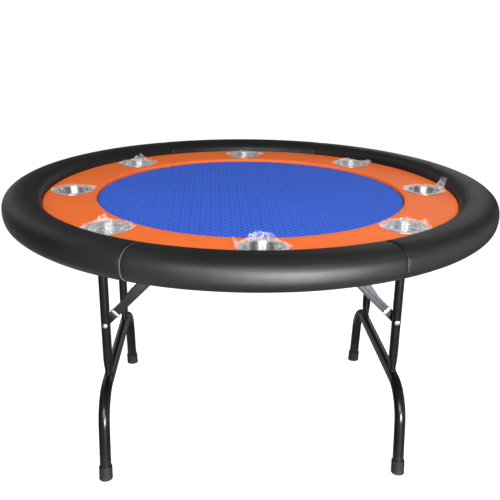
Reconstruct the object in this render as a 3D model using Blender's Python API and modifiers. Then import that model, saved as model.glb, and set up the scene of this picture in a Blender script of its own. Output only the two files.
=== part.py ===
# Round folding poker table for eight players: a padded armrest rail, a raised racetrack with
# eight drop-in cup holders, a cloth playing field, and two leg sets that fold under the top.
# Metres, +Z up. The origin is on the floor, under the middle of the top.
# -X is the left leg set and +X the right one; -Y is the front and +Y the rear.

import math

import bmesh
import bpy
from mathutils import Matrix, Vector

# Overall sizes
TABLE_DIAMETER = 1.320
TABLE_HEIGHT = 0.737

# Gaps between pieces
GAP = 0.0003            # between two pieces that touch
RUNNING_GAP = 0.0003    # round a pin, in the piece that turns on it
RAIL_SEAM_GAP = 0.0005  # between two rail pads

# Armrest rail
RAIL_WIDTH = 0.099
RAIL_HEIGHT = 0.077
RAIL_SQUARENESS = 2.5   # exponent of the rounded section
RAIL_INNER_WALL = 0.014
RAIL_OUTER_WALL = 0.030
RAIL_LAP = 0.004        # how far the rail hangs below the base board
RAIL_LAP_WIDTH = 0.040  # how far the rail's cover runs in under the base board
RAIL_SEAM_ANGLE = 26    # degrees from the front and rear middles to each seam

# Boards and coverings
BASE_THICKNESS = 0.015
PLAY_BOARD_THICKNESS = 0.0147
PLAY_FOAM_THICKNESS = 0.0029
CLOTH_THICKNESS = 0.0005
RACETRACK_WIDTH = 0.1405
RACETRACK_BOARD_THICKNESS = 0.0212
RACETRACK_PADDING = 0.005
RACETRACK_SKIRT = 0.0012
RACETRACK_EDGE_RADIUS = 0.0055
PLAY_FIELD_GAP = 0.0025
RAIL_SIDE_GAP = 0.0005

# Cup holders
CUP_COUNT = 8
CUP_WELL_DIAMETER = 0.084
CUP_DEPTH = 0.068
CUP_SHEET = 0.0008
CUP_FLANGE_WIDTH = 0.0115
CUP_FLANGE_THICKNESS = 0.0015
CUP_HOLE_CLEARANCE = 0.0015
CUP_CORNER = 0.006         # the slant round the well's floor

# Leg sets
LEG_INSET = 0.267       # from the rim of the rail to the plane of a leg set
LEG_TUBE_SPACING = 0.360
UPPER_TUBE_DIAMETER = 0.025
FRAME_TUBE_DIAMETER = 0.030
TUBE_WALL = 0.0012
FRAME_BAR_HEIGHT = 0.2225
FRAME_BEND_RADIUS = 0.095
FRAME_BEND_OFFSET = 0.025  # from the upper tube's axis to where the crossbar starts to bend
FRAME_SPLAY = 8.4          # degrees, of the lower legs
PIVOT_DROP = 0.026         # from the base board's underside to the pivot rod's axis
PIVOT_ROD_DIAMETER = 0.010
PIVOT_ROD_OVERHANG = 0.006
TUBE_TOP = 0.0135          # how far an upper tube runs past the pivot rod's axis
FOOT_WALL = 0.0019
FOOT_HEIGHT = 0.035
FOOT_SOLE = 0.009
FOOT_CHAMFER = 0.001

# Brackets under the top
BRACKET_THICKNESS = 0.003
BRACKET_PLATE_THICKNESS = 0.002
BRACKET_LENGTH = 0.036
BRACKET_PLATE_WIDTH = 0.024
BRACKET_EAR_DROP = 0.012   # how far an ear runs past its pin's axis
BRACKET_SCREW_RADIUS = 0.0022
PIVOT_BRACKET_GAP = 0.003

# Braces
BRACE_REACH = 0.254        # from the leg's pivot to both ends of a brace
LINK_WIDTH = 0.024
LINK_FLARE = 0.006
LINK_FLARE_START = 0.075
LINK_FLARE_END = 0.116
LINK_THICKNESS = 0.003
LINK_SPACE = 0.0009        # between a lock ring and the upper link
BRACE_PIN_DIAMETER = 0.008
BOLT_HEAD_DIAMETER = 0.0112
BOLT_HEAD_HEIGHT = 0.005
BOLT_CROWN_DIAMETER = 0.0066
BOLT_CROWN_HEIGHT = 0.001
BOLT_END_HEIGHT = 0.0015
RIVET_HEAD_DIAMETER = 0.014
RIVET_HEAD_HEIGHT = 0.002
RIVET_CROWN_DIAMETER = 0.0098
RIVET_COLLAR_DIAMETER = 0.012
LOCK_RING_START = 0.030    # along the lower link, from its bolt
LOCK_RING_WIDTH = 0.008
LOCK_RING_SHEET = 0.0012
LOCK_LUG_THICKNESS = 0.0012
LOCK_LUG_INSET = 0.002     # how much narrower the lug is than the link, on each side
LOCK_LUG_SPACER = 0.0029   # between the lug's plate and the tube
LOCK_LUG_CLEARANCE = 0.002  # from the lug's corners to the ring
LOCK_BOSS_DIAMETER = 0.018

# Facets
TOP_SIDES = 48
CUP_SIDES = 16
TUBE_SIDES = 12
PIN_SIDES = 12
BEND_STEPS = 6

# Levels, from the rail's top down
rail_bottom_z = TABLE_HEIGHT - RAIL_HEIGHT
rail_middle_z = TABLE_HEIGHT - RAIL_HEIGHT / 2
underside_z = rail_bottom_z + RAIL_LAP
base_top_z = underside_z + BASE_THICKNESS
board_z = base_top_z + GAP
play_board_top_z = board_z + PLAY_BOARD_THICKNESS
foam_top_z = play_board_top_z + GAP + PLAY_FOAM_THICKNESS
cloth_top_z = foam_top_z + GAP + CLOTH_THICKNESS
racetrack_board_top_z = board_z + RACETRACK_BOARD_THICKNESS
racetrack_top_z = racetrack_board_top_z + GAP + RACETRACK_PADDING
flange_z = racetrack_top_z + GAP
pivot_z = underside_z - PIVOT_DROP

# Radii, from the rim in
rim_radius = TABLE_DIAMETER / 2
rail_inner_radius = rim_radius - RAIL_WIDTH
core_inner_radius = rail_inner_radius + RAIL_INNER_WALL
core_outer_radius = rim_radius - RAIL_OUTER_WALL
racetrack_outer_radius = rail_inner_radius - RAIL_SIDE_GAP
racetrack_inner_radius = racetrack_outer_radius - RACETRACK_WIDTH
play_radius = racetrack_inner_radius - PLAY_FIELD_GAP
cup_circle_radius = (racetrack_inner_radius + racetrack_outer_radius) / 2
cup_outer_radius = CUP_WELL_DIAMETER / 2 + CUP_SHEET
cup_hole_radius = cup_outer_radius + CUP_HOLE_CLEARANCE
leg_plane_x = rim_radius - LEG_INSET

# Layers of a brace, from the upper tube towards the middle of the table, as |y|
tube_y = LEG_TUBE_SPACING / 2
tube_face_y = tube_y - UPPER_TUBE_DIAMETER / 2
lug_outer_y = tube_face_y - LOCK_LUG_SPACER
lug_inner_y = lug_outer_y - LOCK_LUG_THICKNESS
lower_link_outer_y = lug_inner_y - GAP
lower_link_inner_y = lower_link_outer_y - LINK_THICKNESS
ring_inner_y = lower_link_inner_y - GAP - LOCK_RING_SHEET
upper_link_outer_y = ring_inner_y - LINK_SPACE
upper_link_inner_y = upper_link_outer_y - LINK_THICKNESS
ear_outer_y = upper_link_inner_y - GAP
ear_inner_y = ear_outer_y - BRACKET_THICKNESS

# Each link is half of the straight brace, which runs at 45 degrees.
link_length = BRACE_REACH / math.sqrt(2)


def fresh_scene():
    for thing in list(bpy.data.objects):
        bpy.data.objects.remove(thing, do_unlink=True)


def new_collection(name):
    collection = bpy.data.collections.new(name)
    bpy.context.scene.collection.children.link(collection)
    return collection


def material(name, colour, roughness, metallic=0.0):
    made = bpy.data.materials.new(name)
    made.use_nodes = True
    shader = made.node_tree.nodes["Principled BSDF"]
    shader.inputs["Base Color"].default_value = (*colour, 1.0)
    shader.inputs["Roughness"].default_value = roughness
    shader.inputs["Metallic"].default_value = metallic
    made.diffuse_color = (*colour, 1.0)
    return made


def flats_clear(radius, sides):
    # The corner radius of a polygon whose flats stay outside a circle.
    return radius / math.cos(math.pi / sides)


def arc(centre, radius, start, end, steps):
    # Points on an arc, angles in degrees, both ends included.
    angles = [math.radians(start + (end - start) * i / steps) for i in range(steps + 1)]
    return [(centre[0] + radius * math.cos(a), centre[1] + radius * math.sin(a)) for a in angles]


def place(thing, location=(0, 0, 0), rotation=(0, 0, 0), parent=None):
    thing.location = location
    thing.rotation_euler = rotation
    thing.parent = parent
    return thing


def add_object(name, data, finish, collection):
    thing = bpy.data.objects.new(name, data)
    collection.objects.link(thing)
    if finish:
        data.materials.append(finish)
    return thing


def mesh_from(name, build):
    shape = bmesh.new()
    build(shape)
    mesh = bpy.data.meshes.new(name)
    shape.to_mesh(mesh)
    shape.free()
    return mesh


def shade(mesh):
    mesh.shade_smooth()
    mesh.set_sharp_from_angle(angle=math.radians(35))


def turned(name, profile, sides, finish, collection, closed=False):
    # A profile of (radius, height), its outer side running downwards, spun round Z.
    def build(shape):
        points = [shape.verts.new((r, 0, z)) for r, z in profile]
        pairs = list(zip(points, points[1:]))
        if closed:
            pairs.append((points[-1], points[0]))
        for pair in pairs:
            shape.edges.new(pair)

    thing = add_object(name, mesh_from(name, build), finish, collection)
    screw = thing.modifiers.new("Spin", "SCREW")
    screw.steps = screw.render_steps = sides
    screw.use_merge_vertices = True
    screw.merge_threshold = 0.0001
    return thing


def cylinder(name, radius, length, sides, finish, collection):
    # A solid cylinder along Z, with its middle at the origin.
    mesh = mesh_from(name, lambda shape: bmesh.ops.create_cone(
        shape, cap_ends=True, segments=sides, radius1=radius, radius2=radius, depth=length))
    shade(mesh)
    return add_object(name, mesh, finish, collection)


def straight_tube(name, radius, length, wall, sides, finish, collection):
    # A tube along Z, open at both ends, with its middle at the origin.
    mesh = mesh_from(name, lambda shape: bmesh.ops.create_cone(
        shape, cap_ends=False, segments=sides, radius1=radius, radius2=radius, depth=length))
    shade(mesh)
    thing = add_object(name, mesh, finish, collection)
    add_wall(thing, wall)
    return thing


def add_wall(thing, wall):
    solidify = thing.modifiers.new("Wall", "SOLIDIFY")
    solidify.thickness = wall
    solidify.offset = -1
    solidify.use_even_offset = True


def as_mesh(curve):
    # The same shape as a welded mesh object, which Booleans can work on.
    graph = bpy.context.evaluated_depsgraph_get()
    mesh = bpy.data.meshes.new_from_object(curve.evaluated_get(graph))
    shape = bmesh.new()
    shape.from_mesh(mesh)
    bmesh.ops.remove_doubles(shape, verts=shape.verts, dist=1e-6)
    bmesh.ops.recalc_face_normals(shape, faces=shape.faces)
    shape.to_mesh(mesh)
    shape.free()
    shade(mesh)
    name = curve.name
    thing = bpy.data.objects.new(name + "_mesh", mesh)
    curve.users_collection[0].objects.link(thing)
    thing.parent = curve.parent
    thing.matrix_basis = curve.matrix_basis
    bpy.data.objects.remove(curve, do_unlink=True)
    thing.name = name
    return thing


def flat_piece(name, outlines, thickness, finish, collection):
    # The first outline is the edge and the others are holes. It lies in XY, its middle at z 0.
    curve = bpy.data.curves.new(name, "CURVE")
    curve.dimensions = "2D"
    curve.fill_mode = "BOTH"
    curve.extrude = thickness / 2
    for outline in outlines:
        spline = curve.splines.new("POLY")
        spline.points.add(len(outline) - 1)
        for point, (x, y) in zip(spline.points, outline):
            point.co = (x, y, 0, 1)
        spline.use_cyclic_u = True
    return add_object(name, curve, finish, collection)


def bent_tube(name, points, radius, wall, finish, collection):
    curve = bpy.data.curves.new(name, "CURVE")
    curve.dimensions = "3D"
    curve.bevel_depth = radius
    curve.bevel_resolution = 4
    spline = curve.splines.new("POLY")
    spline.points.add(len(points) - 1)
    for point, co in zip(spline.points, points):
        point.co = (*co, 1)
    thing = as_mesh(add_object(name, curve, finish, collection))
    add_wall(thing, wall)
    return thing


def boolean(thing, other, operation="DIFFERENCE"):
    modifier = thing.modifiers.new(operation.title(), "BOOLEAN")
    modifier.operation = operation
    modifier.object = other


def cutter(thing):
    thing.hide_render = True
    thing.display_type = "WIRE"
    return thing


def cutting_rod(name, radius, length, location, rotation, parent=None, sides=PIN_SIDES):
    rod = cylinder(name, flats_clear(radius, sides), length, sides, None, helpers)
    return cutter(place(rod, location, rotation, parent))


# Turns a piece's +Z outwards, to the front (row -1) or to the rear (row +1).
def facing(row):
    return (-row * math.pi / 2, 0, 0)


def cup_places():
    for i in range(CUP_COUNT):
        angle = 2 * math.pi * i / CUP_COUNT
        yield i + 1, cup_circle_radius * math.cos(angle), cup_circle_radius * math.sin(angle)


# ---- The top ----

def cup_hole_cutters():
    length = 2 * CUP_DEPTH
    return [
        cutting_rod(f"cup_hole_{number}", cup_hole_radius, length, (x, y, racetrack_top_z),
                    (0, 0, 0), sides=CUP_SIDES)
        for number, x, y in cup_places()
    ]


def cut_cup_holes(thing, holes):
    for hole in holes:
        boolean(thing, hole)


def disc(name, radius, bottom, top, finish):
    return turned(name, [(0, top), (radius, top), (radius, bottom), (0, bottom)], TOP_SIDES,
                  finish, table_parts)


def ring(name, inner, outer, bottom, top, finish):
    profile = [(inner, top), (outer, top), (outer, bottom), (inner, bottom)]
    return turned(name, profile, TOP_SIDES, finish, table_parts, closed=True)


def make_boards(holes):
    cut_cup_holes(disc("base_board", core_outer_radius, underside_z, base_top_z, board_finish), holes)
    disc("play_board", play_radius, board_z, play_board_top_z, raw_board)
    disc("play_foam", play_radius, play_board_top_z + GAP, foam_top_z, foam)
    disc("speed_cloth", play_radius, foam_top_z + GAP, cloth_top_z, cloth)
    board = ring("racetrack_board", racetrack_inner_radius + RACETRACK_SKIRT + GAP,
                 racetrack_outer_radius, board_z, racetrack_board_top_z, raw_board)
    cut_cup_holes(board, holes)
    ring("rail_core", core_inner_radius + GAP, core_outer_radius, board_z, racetrack_board_top_z,
         raw_board)


def make_racetrack_cover(holes):
    # Padded vinyl on the racetrack board, with a skirt down the board's inner edge.
    inner = racetrack_inner_radius
    skirt = inner + RACETRACK_SKIRT
    radius = RACETRACK_EDGE_RADIUS
    padding_z = racetrack_board_top_z + GAP
    edge = arc((inner + radius, racetrack_top_z - radius), radius, 180, 90, 3)
    profile = edge + [
        (racetrack_outer_radius, racetrack_top_z),
        (racetrack_outer_radius, padding_z),
        (skirt, padding_z),
        (skirt, board_z),
        (inner, board_z),
    ]
    cover = turned("racetrack_cover", profile, TOP_SIDES, racetrack_vinyl, table_parts, closed=True)
    cut_cup_holes(cover, holes)


def rail_curve(t):
    # The rail's rounded section at parameter t: 0 is the outer side, 90 degrees the top.
    power = 2 / RAIL_SQUARENESS
    c, s = math.cos(t), math.sin(t)
    r = rim_radius - RAIL_WIDTH / 2 + RAIL_WIDTH / 2 * math.copysign(abs(c) ** power, c)
    z = rail_middle_z + RAIL_HEIGHT / 2 * math.copysign(abs(s) ** power, s)
    return r, z


def rail_radius_inside(z):
    # The inner radius of the rail's section at a height.
    height = abs(z - rail_middle_z) / (RAIL_HEIGHT / 2)
    share = (1 - height ** RAIL_SQUARENESS) ** (1 / RAIL_SQUARENESS)
    return rim_radius - RAIL_WIDTH / 2 - RAIL_WIDTH / 2 * share


def rail_height_below(r):
    # The lower side of the rail's section at a radius.
    across = abs(r - (rim_radius - RAIL_WIDTH / 2)) / (RAIL_WIDTH / 2)
    share = (1 - across ** RAIL_SQUARENESS) ** (1 / RAIL_SQUARENESS)
    return rail_middle_z - RAIL_HEIGHT / 2 * share


def rail_profile():
    # It wraps over the core and the base board's edge, and laps in under the board.
    lap_radius = core_outer_radius - RAIL_LAP_WIDTH
    lap_z = underside_z - GAP
    slot_outer = core_outer_radius + GAP
    slot_top = racetrack_board_top_z + GAP
    wall = core_inner_radius
    outside = [(rail_radius_inside(board_z), board_z)]
    outside += [rail_curve(math.radians(t)) for t in range(180, -90, -18)]
    outside.append((lap_radius, rail_height_below(lap_radius)))
    slot = [(lap_radius, lap_z), (slot_outer, lap_z), (slot_outer, slot_top), (wall, slot_top),
            (wall, board_z)]
    return outside + slot


def rail_wedge(name, start, end):
    # What is kept of the ring for one pad, between two seams, in degrees.
    trim = math.degrees(RAIL_SEAM_GAP / 2 / rail_inner_radius)
    steps = max(2, math.ceil((end - start) / 30))
    outline = [(0, 0)] + arc((0, 0), TABLE_DIAMETER, start + trim, end - trim, steps)
    wedge = flat_piece(name, [outline], 2 * RAIL_HEIGHT, None, helpers)
    wedge.location = (0, 0, rail_middle_z)
    bpy.context.view_layer.update()
    return cutter(as_mesh(wedge))


def make_rail_pads():
    spans = {
        "front_rail_pad": (270 - RAIL_SEAM_ANGLE, 270 + RAIL_SEAM_ANGLE),
        "right_rail_pad": (-90 + RAIL_SEAM_ANGLE, 90 - RAIL_SEAM_ANGLE),
        "rear_rail_pad": (90 - RAIL_SEAM_ANGLE, 90 + RAIL_SEAM_ANGLE),
        "left_rail_pad": (90 + RAIL_SEAM_ANGLE, 270 - RAIL_SEAM_ANGLE),
    }
    for name, (start, end) in spans.items():
        pad = turned(name, rail_profile(), TOP_SIDES, rail_leather, table_parts, closed=True)
        boolean(pad, rail_wedge(name + "_span", start, end), "INTERSECT")


def make_cup_holders():
    well = CUP_WELL_DIAMETER / 2
    flange_radius = well + CUP_FLANGE_WIDTH
    top = CUP_FLANGE_THICKNESS
    floor = top - CUP_DEPTH
    corner = CUP_CORNER
    profile = [
        (0, floor + CUP_SHEET),
        (well - corner, floor + CUP_SHEET),
        (well, floor + CUP_SHEET + corner),
        (well, top),
        (flange_radius, top),
        (flange_radius, 0),
        (cup_outer_radius, 0),
        (cup_outer_radius, floor + corner),
        (cup_outer_radius - corner, floor),
        (0, floor),
    ]
    for number, x, y in cup_places():
        cup = turned(f"cup_holder_{number}", profile, CUP_SIDES, steel, table_parts)
        place(cup, (x, y, flange_z))


# ---- Leg sets ----

def frame_path():
    # One leg set's lower frame, seen along X, from the front foot over the crossbar to the rear foot.
    bend_y = tube_y + FRAME_BEND_OFFSET
    bend_z = FRAME_BAR_HEIGHT - FRAME_BEND_RADIUS
    half = arc((bend_y, bend_z), FRAME_BEND_RADIUS, 90, FRAME_SPLAY, BEND_STEPS)
    end_y, end_z = half[-1]
    half.append((end_y + (end_z - FOOT_SOLE) * math.tan(math.radians(FRAME_SPLAY)), FOOT_SOLE))
    return [(-y, z) for y, z in reversed(half)] + half


def foot_place():
    # Where the lower leg's axis meets the floor.
    end_y, end_z = frame_path()[-1]
    return end_y + end_z * math.tan(math.radians(FRAME_SPLAY))


def make_foot(name, row, leg, floor_cutter):
    # A rubber cup on the tube's end, leaning with it and cut level with the floor.
    socket = flats_clear(FRAME_TUBE_DIAMETER / 2 + GAP, TUBE_SIDES)
    outer = socket + FOOT_WALL
    sole = FOOT_SOLE / math.cos(math.radians(FRAME_SPLAY)) - GAP
    depth = 2 * outer * math.tan(math.radians(FRAME_SPLAY))  # past the floor, to be cut off
    profile = [
        (0, sole),
        (socket, sole),
        (socket, FOOT_HEIGHT),
        (outer - FOOT_CHAMFER, FOOT_HEIGHT),
        (outer, FOOT_HEIGHT - FOOT_CHAMFER),
        (outer, -depth),
        (0, -depth),
    ]
    foot = turned(name, profile, TUBE_SIDES, rubber, table_parts)
    place(foot, (0, row * foot_place(), -pivot_z), (row * math.radians(FRAME_SPLAY), 0, 0), leg)
    boolean(foot, floor_cutter)


def make_upper_tube(name, side, row, leg):
    top = TUBE_TOP
    bottom = FRAME_BAR_HEIGHT - pivot_z
    middle = (top + bottom) / 2
    y = row * tube_y
    tube = straight_tube(name, UPPER_TUBE_DIAMETER / 2, top - bottom, TUBE_WALL, TUBE_SIDES,
                         leg_paint, table_parts)
    place(tube, (0, y, middle), (0, 0, 0), leg)

    # The lug that the lock ring drops over, on a boss round the brace's bolt.
    reach = LOCK_RING_START - LOCK_LUG_CLEARANCE
    half = LINK_WIDTH / 2 - LOCK_LUG_INSET
    tip = math.sqrt(reach ** 2 - half ** 2)
    outline = [(tip, -half), (tip, half)] + arc((0, 0), half, 90, 270, 8)
    plate = flat_piece(name + "_lug", [outline], LOCK_LUG_THICKNESS, None, helpers)
    place(plate, (0, row * (lug_inner_y + lug_outer_y) / 2, -BRACE_REACH),
          brace_turn(side, 1), leg)
    bpy.context.view_layer.update()
    plate = cutter(as_mesh(plate))
    boss_length = LOCK_LUG_SPACER + 2 * TUBE_WALL
    boss = cylinder(name + "_boss", LOCK_BOSS_DIAMETER / 2, boss_length, PIN_SIDES, None, helpers)
    boss_y = lug_outer_y - LOCK_LUG_THICKNESS / 2 + boss_length / 2
    cutter(place(boss, (0, row * boss_y, -BRACE_REACH), facing(row), leg))
    boolean(tube, boss, "UNION")
    boolean(tube, plate, "UNION")

    length = 2 * UPPER_TUBE_DIAMETER
    boolean(tube, cutting_rod(name + "_bolt_hole", BRACE_PIN_DIAMETER / 2 + GAP, length,
                              (0, y, -BRACE_REACH), facing(row), leg))
    boolean(tube, cutting_rod(name + "_rod_hole", PIVOT_ROD_DIAMETER / 2 + GAP, length,
                              (0, y, 0), facing(row), leg))
    boolean(tube, cutting_rod(name + "_saddle", FRAME_TUBE_DIAMETER / 2 + GAP, length,
                              (0, y, bottom), facing(row), leg, sides=2 * TUBE_SIDES))


def make_brace_bolt(name, row, leg):
    # Its head is on the outer side of the upper tube, and it ends just past the lower link.
    head_z = UPPER_TUBE_DIAMETER / 2 + GAP
    end_z = lower_link_inner_y - BOLT_END_HEIGHT + GAP - tube_y
    head = BOLT_HEAD_DIAMETER / 2
    shaft = BRACE_PIN_DIAMETER / 2
    profile = [
        (0, head_z + BOLT_HEAD_HEIGHT),
        (BOLT_CROWN_DIAMETER / 2, head_z + BOLT_HEAD_HEIGHT - BOLT_CROWN_HEIGHT),
        (head, head_z),
        (shaft, head_z),
        (shaft, end_z),
        (0, end_z),
    ]
    bolt = turned(name, profile, PIN_SIDES, zinc, table_parts)
    place(bolt, (0, row * tube_y, -BRACE_REACH), facing(row), leg)


def angle_bracket(name, ear_faces, plate_edge, x, row, pin_radius):
    # Bent sheet under the base board: an ear across Y with a hole, and a plate with two screw holes.
    near, far = ear_faces
    top = underside_z - GAP
    plate_z = top - BRACKET_PLATE_THICKNESS
    low = pivot_z - BRACKET_EAR_DROP
    outline = [(plate_edge, top), (plate_edge, plate_z), (near, plate_z), (near, low), (far, low),
               (far, top)]
    outline = [(row * y, z) for y, z in outline]
    bracket = flat_piece(name, [outline], BRACKET_LENGTH, bracket_paint, table_parts)
    # The outline's X and Y become the table's Y and Z.
    place(bracket, (x, 0, 0), (math.pi / 2, 0, math.pi / 2))
    bpy.context.view_layer.update()
    bracket = as_mesh(bracket)
    ear_middle = row * (near + far) / 2
    boolean(bracket, cutting_rod(name + "_pin_hole", pin_radius, 4 * BRACKET_THICKNESS,
                                 (x, ear_middle, pivot_z), facing(row)))
    screw_y = row * (near + plate_edge) / 2
    for end in (-1, 1):
        boolean(bracket, cutting_rod(f"{name}_screw_hole_{end}", BRACKET_SCREW_RADIUS,
                                     4 * BRACKET_THICKNESS,
                                     (x + end * BRACKET_LENGTH / 4, screw_y, top), (0, 0, 0)))
    return bracket


def make_pivot_bracket(name, side, row):
    near = tube_y + UPPER_TUBE_DIAMETER / 2 + PIVOT_BRACKET_GAP
    far = near + BRACKET_THICKNESS
    angle_bracket(name, (far, near), near + BRACKET_PLATE_WIDTH, side * leg_plane_x, row,
                  PIVOT_ROD_DIAMETER / 2 + RUNNING_GAP)


def make_leg_set(side, side_name, floor_cutter):
    leg = bpy.data.objects.new(side_name + "_leg_pivot", None)
    table_parts.objects.link(leg)
    place(leg, (side * leg_plane_x, 0, pivot_z))
    bpy.context.view_layer.update()

    path = [(0, y, z - pivot_z) for y, z in frame_path()]
    frame = bent_tube(side_name + "_lower_frame", path, FRAME_TUBE_DIAMETER / 2, TUBE_WALL,
                      leg_paint, table_parts)
    place(frame, parent=leg)

    rod_length = 2 * (tube_y + UPPER_TUBE_DIAMETER / 2 + PIVOT_BRACKET_GAP + BRACKET_THICKNESS
                      + PIVOT_ROD_OVERHANG)
    rod = cylinder(side_name + "_pivot_rod", PIVOT_ROD_DIAMETER / 2, rod_length, PIN_SIDES,
                   zinc, table_parts)
    place(rod, rotation=facing(1), parent=leg)

    for row, row_name in ((-1, "front"), (1, "rear")):
        name = f"{side_name}_{row_name}_"
        make_foot(name + "foot", row, leg, floor_cutter)
        make_upper_tube(name + "upper_tube", side, row, leg)
        make_brace_bolt(name + "brace_bolt", row, leg)
        make_pivot_bracket(name + "pivot_bracket", side, row)
        make_brace(name, side, row, leg)


# ---- Braces ----

def brace_turn(side, way):
    # Rotation of a link: its X runs along the brace, up from the leg (way 1) or down from the
    # bracket (way -1), and its Y is square to that, on the brace's upper edge.
    along = Vector((-side, 0, 1)).normalized() * way
    across = Vector((side, 0, 1)).normalized()
    return Matrix((along, across, along.cross(across))).transposed().to_euler()


def link_outline():
    # A flat bar with round ends, from its end pin at 0 to the elbow, wider on its upper edge there.
    half = LINK_WIDTH / 2
    start = arc((0, 0), half, 90, 270, 8)
    elbow = arc((link_length, LINK_FLARE / 2), half + LINK_FLARE / 2, -90, 90, 8)
    flare = [(LINK_FLARE_END, half + LINK_FLARE), (LINK_FLARE_START, half)]
    return start + elbow + flare


def link_hole(x):
    radius = flats_clear(BRACE_PIN_DIAMETER / 2 + RUNNING_GAP, PIN_SIDES)
    return arc((x, 0), radius, 0, 360 - 360 / PIN_SIDES, PIN_SIDES - 1)


def make_link(name, location, turn, parent):
    outlines = [link_outline(), link_hole(0), link_hole(link_length)]
    link = flat_piece(name, outlines, LINK_THICKNESS, brace_paint, table_parts)
    return place(link, location, turn, parent)


def make_lock_ring(name, row, lower_link, link_y):
    # A flat band round the lower link, wide enough to take the lug as well.
    half = LINK_WIDTH / 2 + GAP
    # In the link's own frame, +Z is along the table's +Y or -Y.
    turn = lower_link.rotation_euler.to_matrix()
    towards_tube = 1 if (turn @ Vector((0, 0, 1))).y * row > 0 else -1
    faces = (lower_link_inner_y - GAP, lug_outer_y + GAP)
    low, high = sorted(towards_tube * (face - link_y) for face in faces)

    def rectangle(grow):
        return [(-low + grow, -half - grow), (-low + grow, half + grow),
                (-high - grow, half + grow), (-high - grow, -half - grow)]

    ring_band = flat_piece(name, [rectangle(LOCK_RING_SHEET), rectangle(0)], LOCK_RING_WIDTH,
                           zinc, table_parts)
    # The outline's X becomes the link's -Z, and its thickness lies along the link.
    place(ring_band, (LOCK_RING_START + LOCK_RING_WIDTH / 2, 0, 0), (0, math.pi / 2, 0), lower_link)


def make_elbow_rivet(name, row, upper_link, link_y):
    # Headed on the inner side, with a collar that fills the space up to the lower link.
    head = RIVET_HEAD_DIAMETER / 2
    collar = RIVET_COLLAR_DIAMETER / 2
    shaft = BRACE_PIN_DIAMETER / 2
    face = LINK_THICKNESS / 2 + GAP
    collar_end = lower_link_inner_y - GAP - link_y
    profile = [
        (0, collar_end),
        (collar, collar_end),
        (collar, face),
        (shaft, face),
        (shaft, -face),
        (head, -face),
        (RIVET_CROWN_DIAMETER / 2, -face - RIVET_HEAD_HEIGHT),
        (0, -face - RIVET_HEAD_HEIGHT),
    ]
    rivet = turned(name, profile, PIN_SIDES, zinc, table_parts)
    turn = upper_link.rotation_euler.to_matrix()
    flipped = (turn @ Vector((0, 0, 1))).y * row < 0
    place(rivet, (link_length, 0, 0), (math.pi if flipped else 0, 0, 0), upper_link)


def make_brace_bracket(name, side, row):
    # The pin that the upper link turns on is riveted into the ear.
    x = side * (leg_plane_x - BRACE_REACH)
    bracket = angle_bracket(name, (ear_inner_y, ear_outer_y), ear_inner_y - BRACKET_PLATE_WIDTH,
                            x, row, BRACE_PIN_DIAMETER / 2 - GAP)
    inner = ear_inner_y - RIVET_HEAD_HEIGHT
    outer = upper_link_outer_y + GAP
    pin = cylinder(name + "_pin", BRACE_PIN_DIAMETER / 2, outer - inner, PIN_SIDES, None, helpers)
    cutter(place(pin, (x, row * (inner + outer) / 2, pivot_z), facing(row)))
    boolean(bracket, pin, "UNION")


def make_brace(name, side, row, leg):
    lower_y = (lower_link_inner_y + lower_link_outer_y) / 2
    lower = make_link(name + "lower_link", (0, row * lower_y, -BRACE_REACH), brace_turn(side, 1), leg)
    make_lock_ring(name + "lock_ring", row, lower, lower_y)

    upper_y = (upper_link_inner_y + upper_link_outer_y) / 2
    place_d = (side * (leg_plane_x - BRACE_REACH), row * upper_y, pivot_z)
    upper = make_link(name + "upper_link", place_d, brace_turn(side, -1), None)
    make_elbow_rivet(name + "elbow_rivet", row, upper, upper_y)
    make_brace_bracket(name + "brace_bracket", side, row)


fresh_scene()
table_parts = new_collection("folding_poker_table")
helpers = new_collection("cutters")

board_finish = material("board_finish", (0.045, 0.042, 0.040), 0.70)
raw_board = material("raw_board", (0.42, 0.30, 0.19), 0.85)
foam = material("foam", (0.62, 0.60, 0.54), 0.95)
cloth = material("cloth", (0.035, 0.115, 0.52), 0.85)
racetrack_vinyl = material("racetrack_vinyl", (0.78, 0.19, 0.045), 0.45)
rail_leather = material("rail_leather", (0.018, 0.018, 0.020), 0.40)
steel = material("steel", (0.72, 0.72, 0.73), 0.18, 1.0)
leg_paint = material("leg_paint", (0.012, 0.012, 0.014), 0.22)
brace_paint = material("brace_paint", (0.05, 0.05, 0.055), 0.45)
bracket_paint = material("bracket_paint", (0.03, 0.03, 0.032), 0.45)
zinc = material("zinc", (0.66, 0.66, 0.64), 0.30, 1.0)
rubber = material("rubber", (0.015, 0.015, 0.015), 0.75)

cup_holes = cup_hole_cutters()
make_boards(cup_holes)
make_racetrack_cover(cup_holes)
make_rail_pads()
make_cup_holders()

below_floor = cylinder("below_floor", TABLE_DIAMETER, 0.1, TUBE_SIDES, None, helpers)
cutter(place(below_floor, (0, 0, -0.05)))
make_leg_set(-1, "left", below_floor)
make_leg_set(1, "right", below_floor)
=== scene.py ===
from math import copysign, cos, degrees, exp, hypot, pi, radians, sin, sqrt, tan
import random

import bmesh
import bpy
from mathutils import Matrix, Vector, noise


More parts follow.
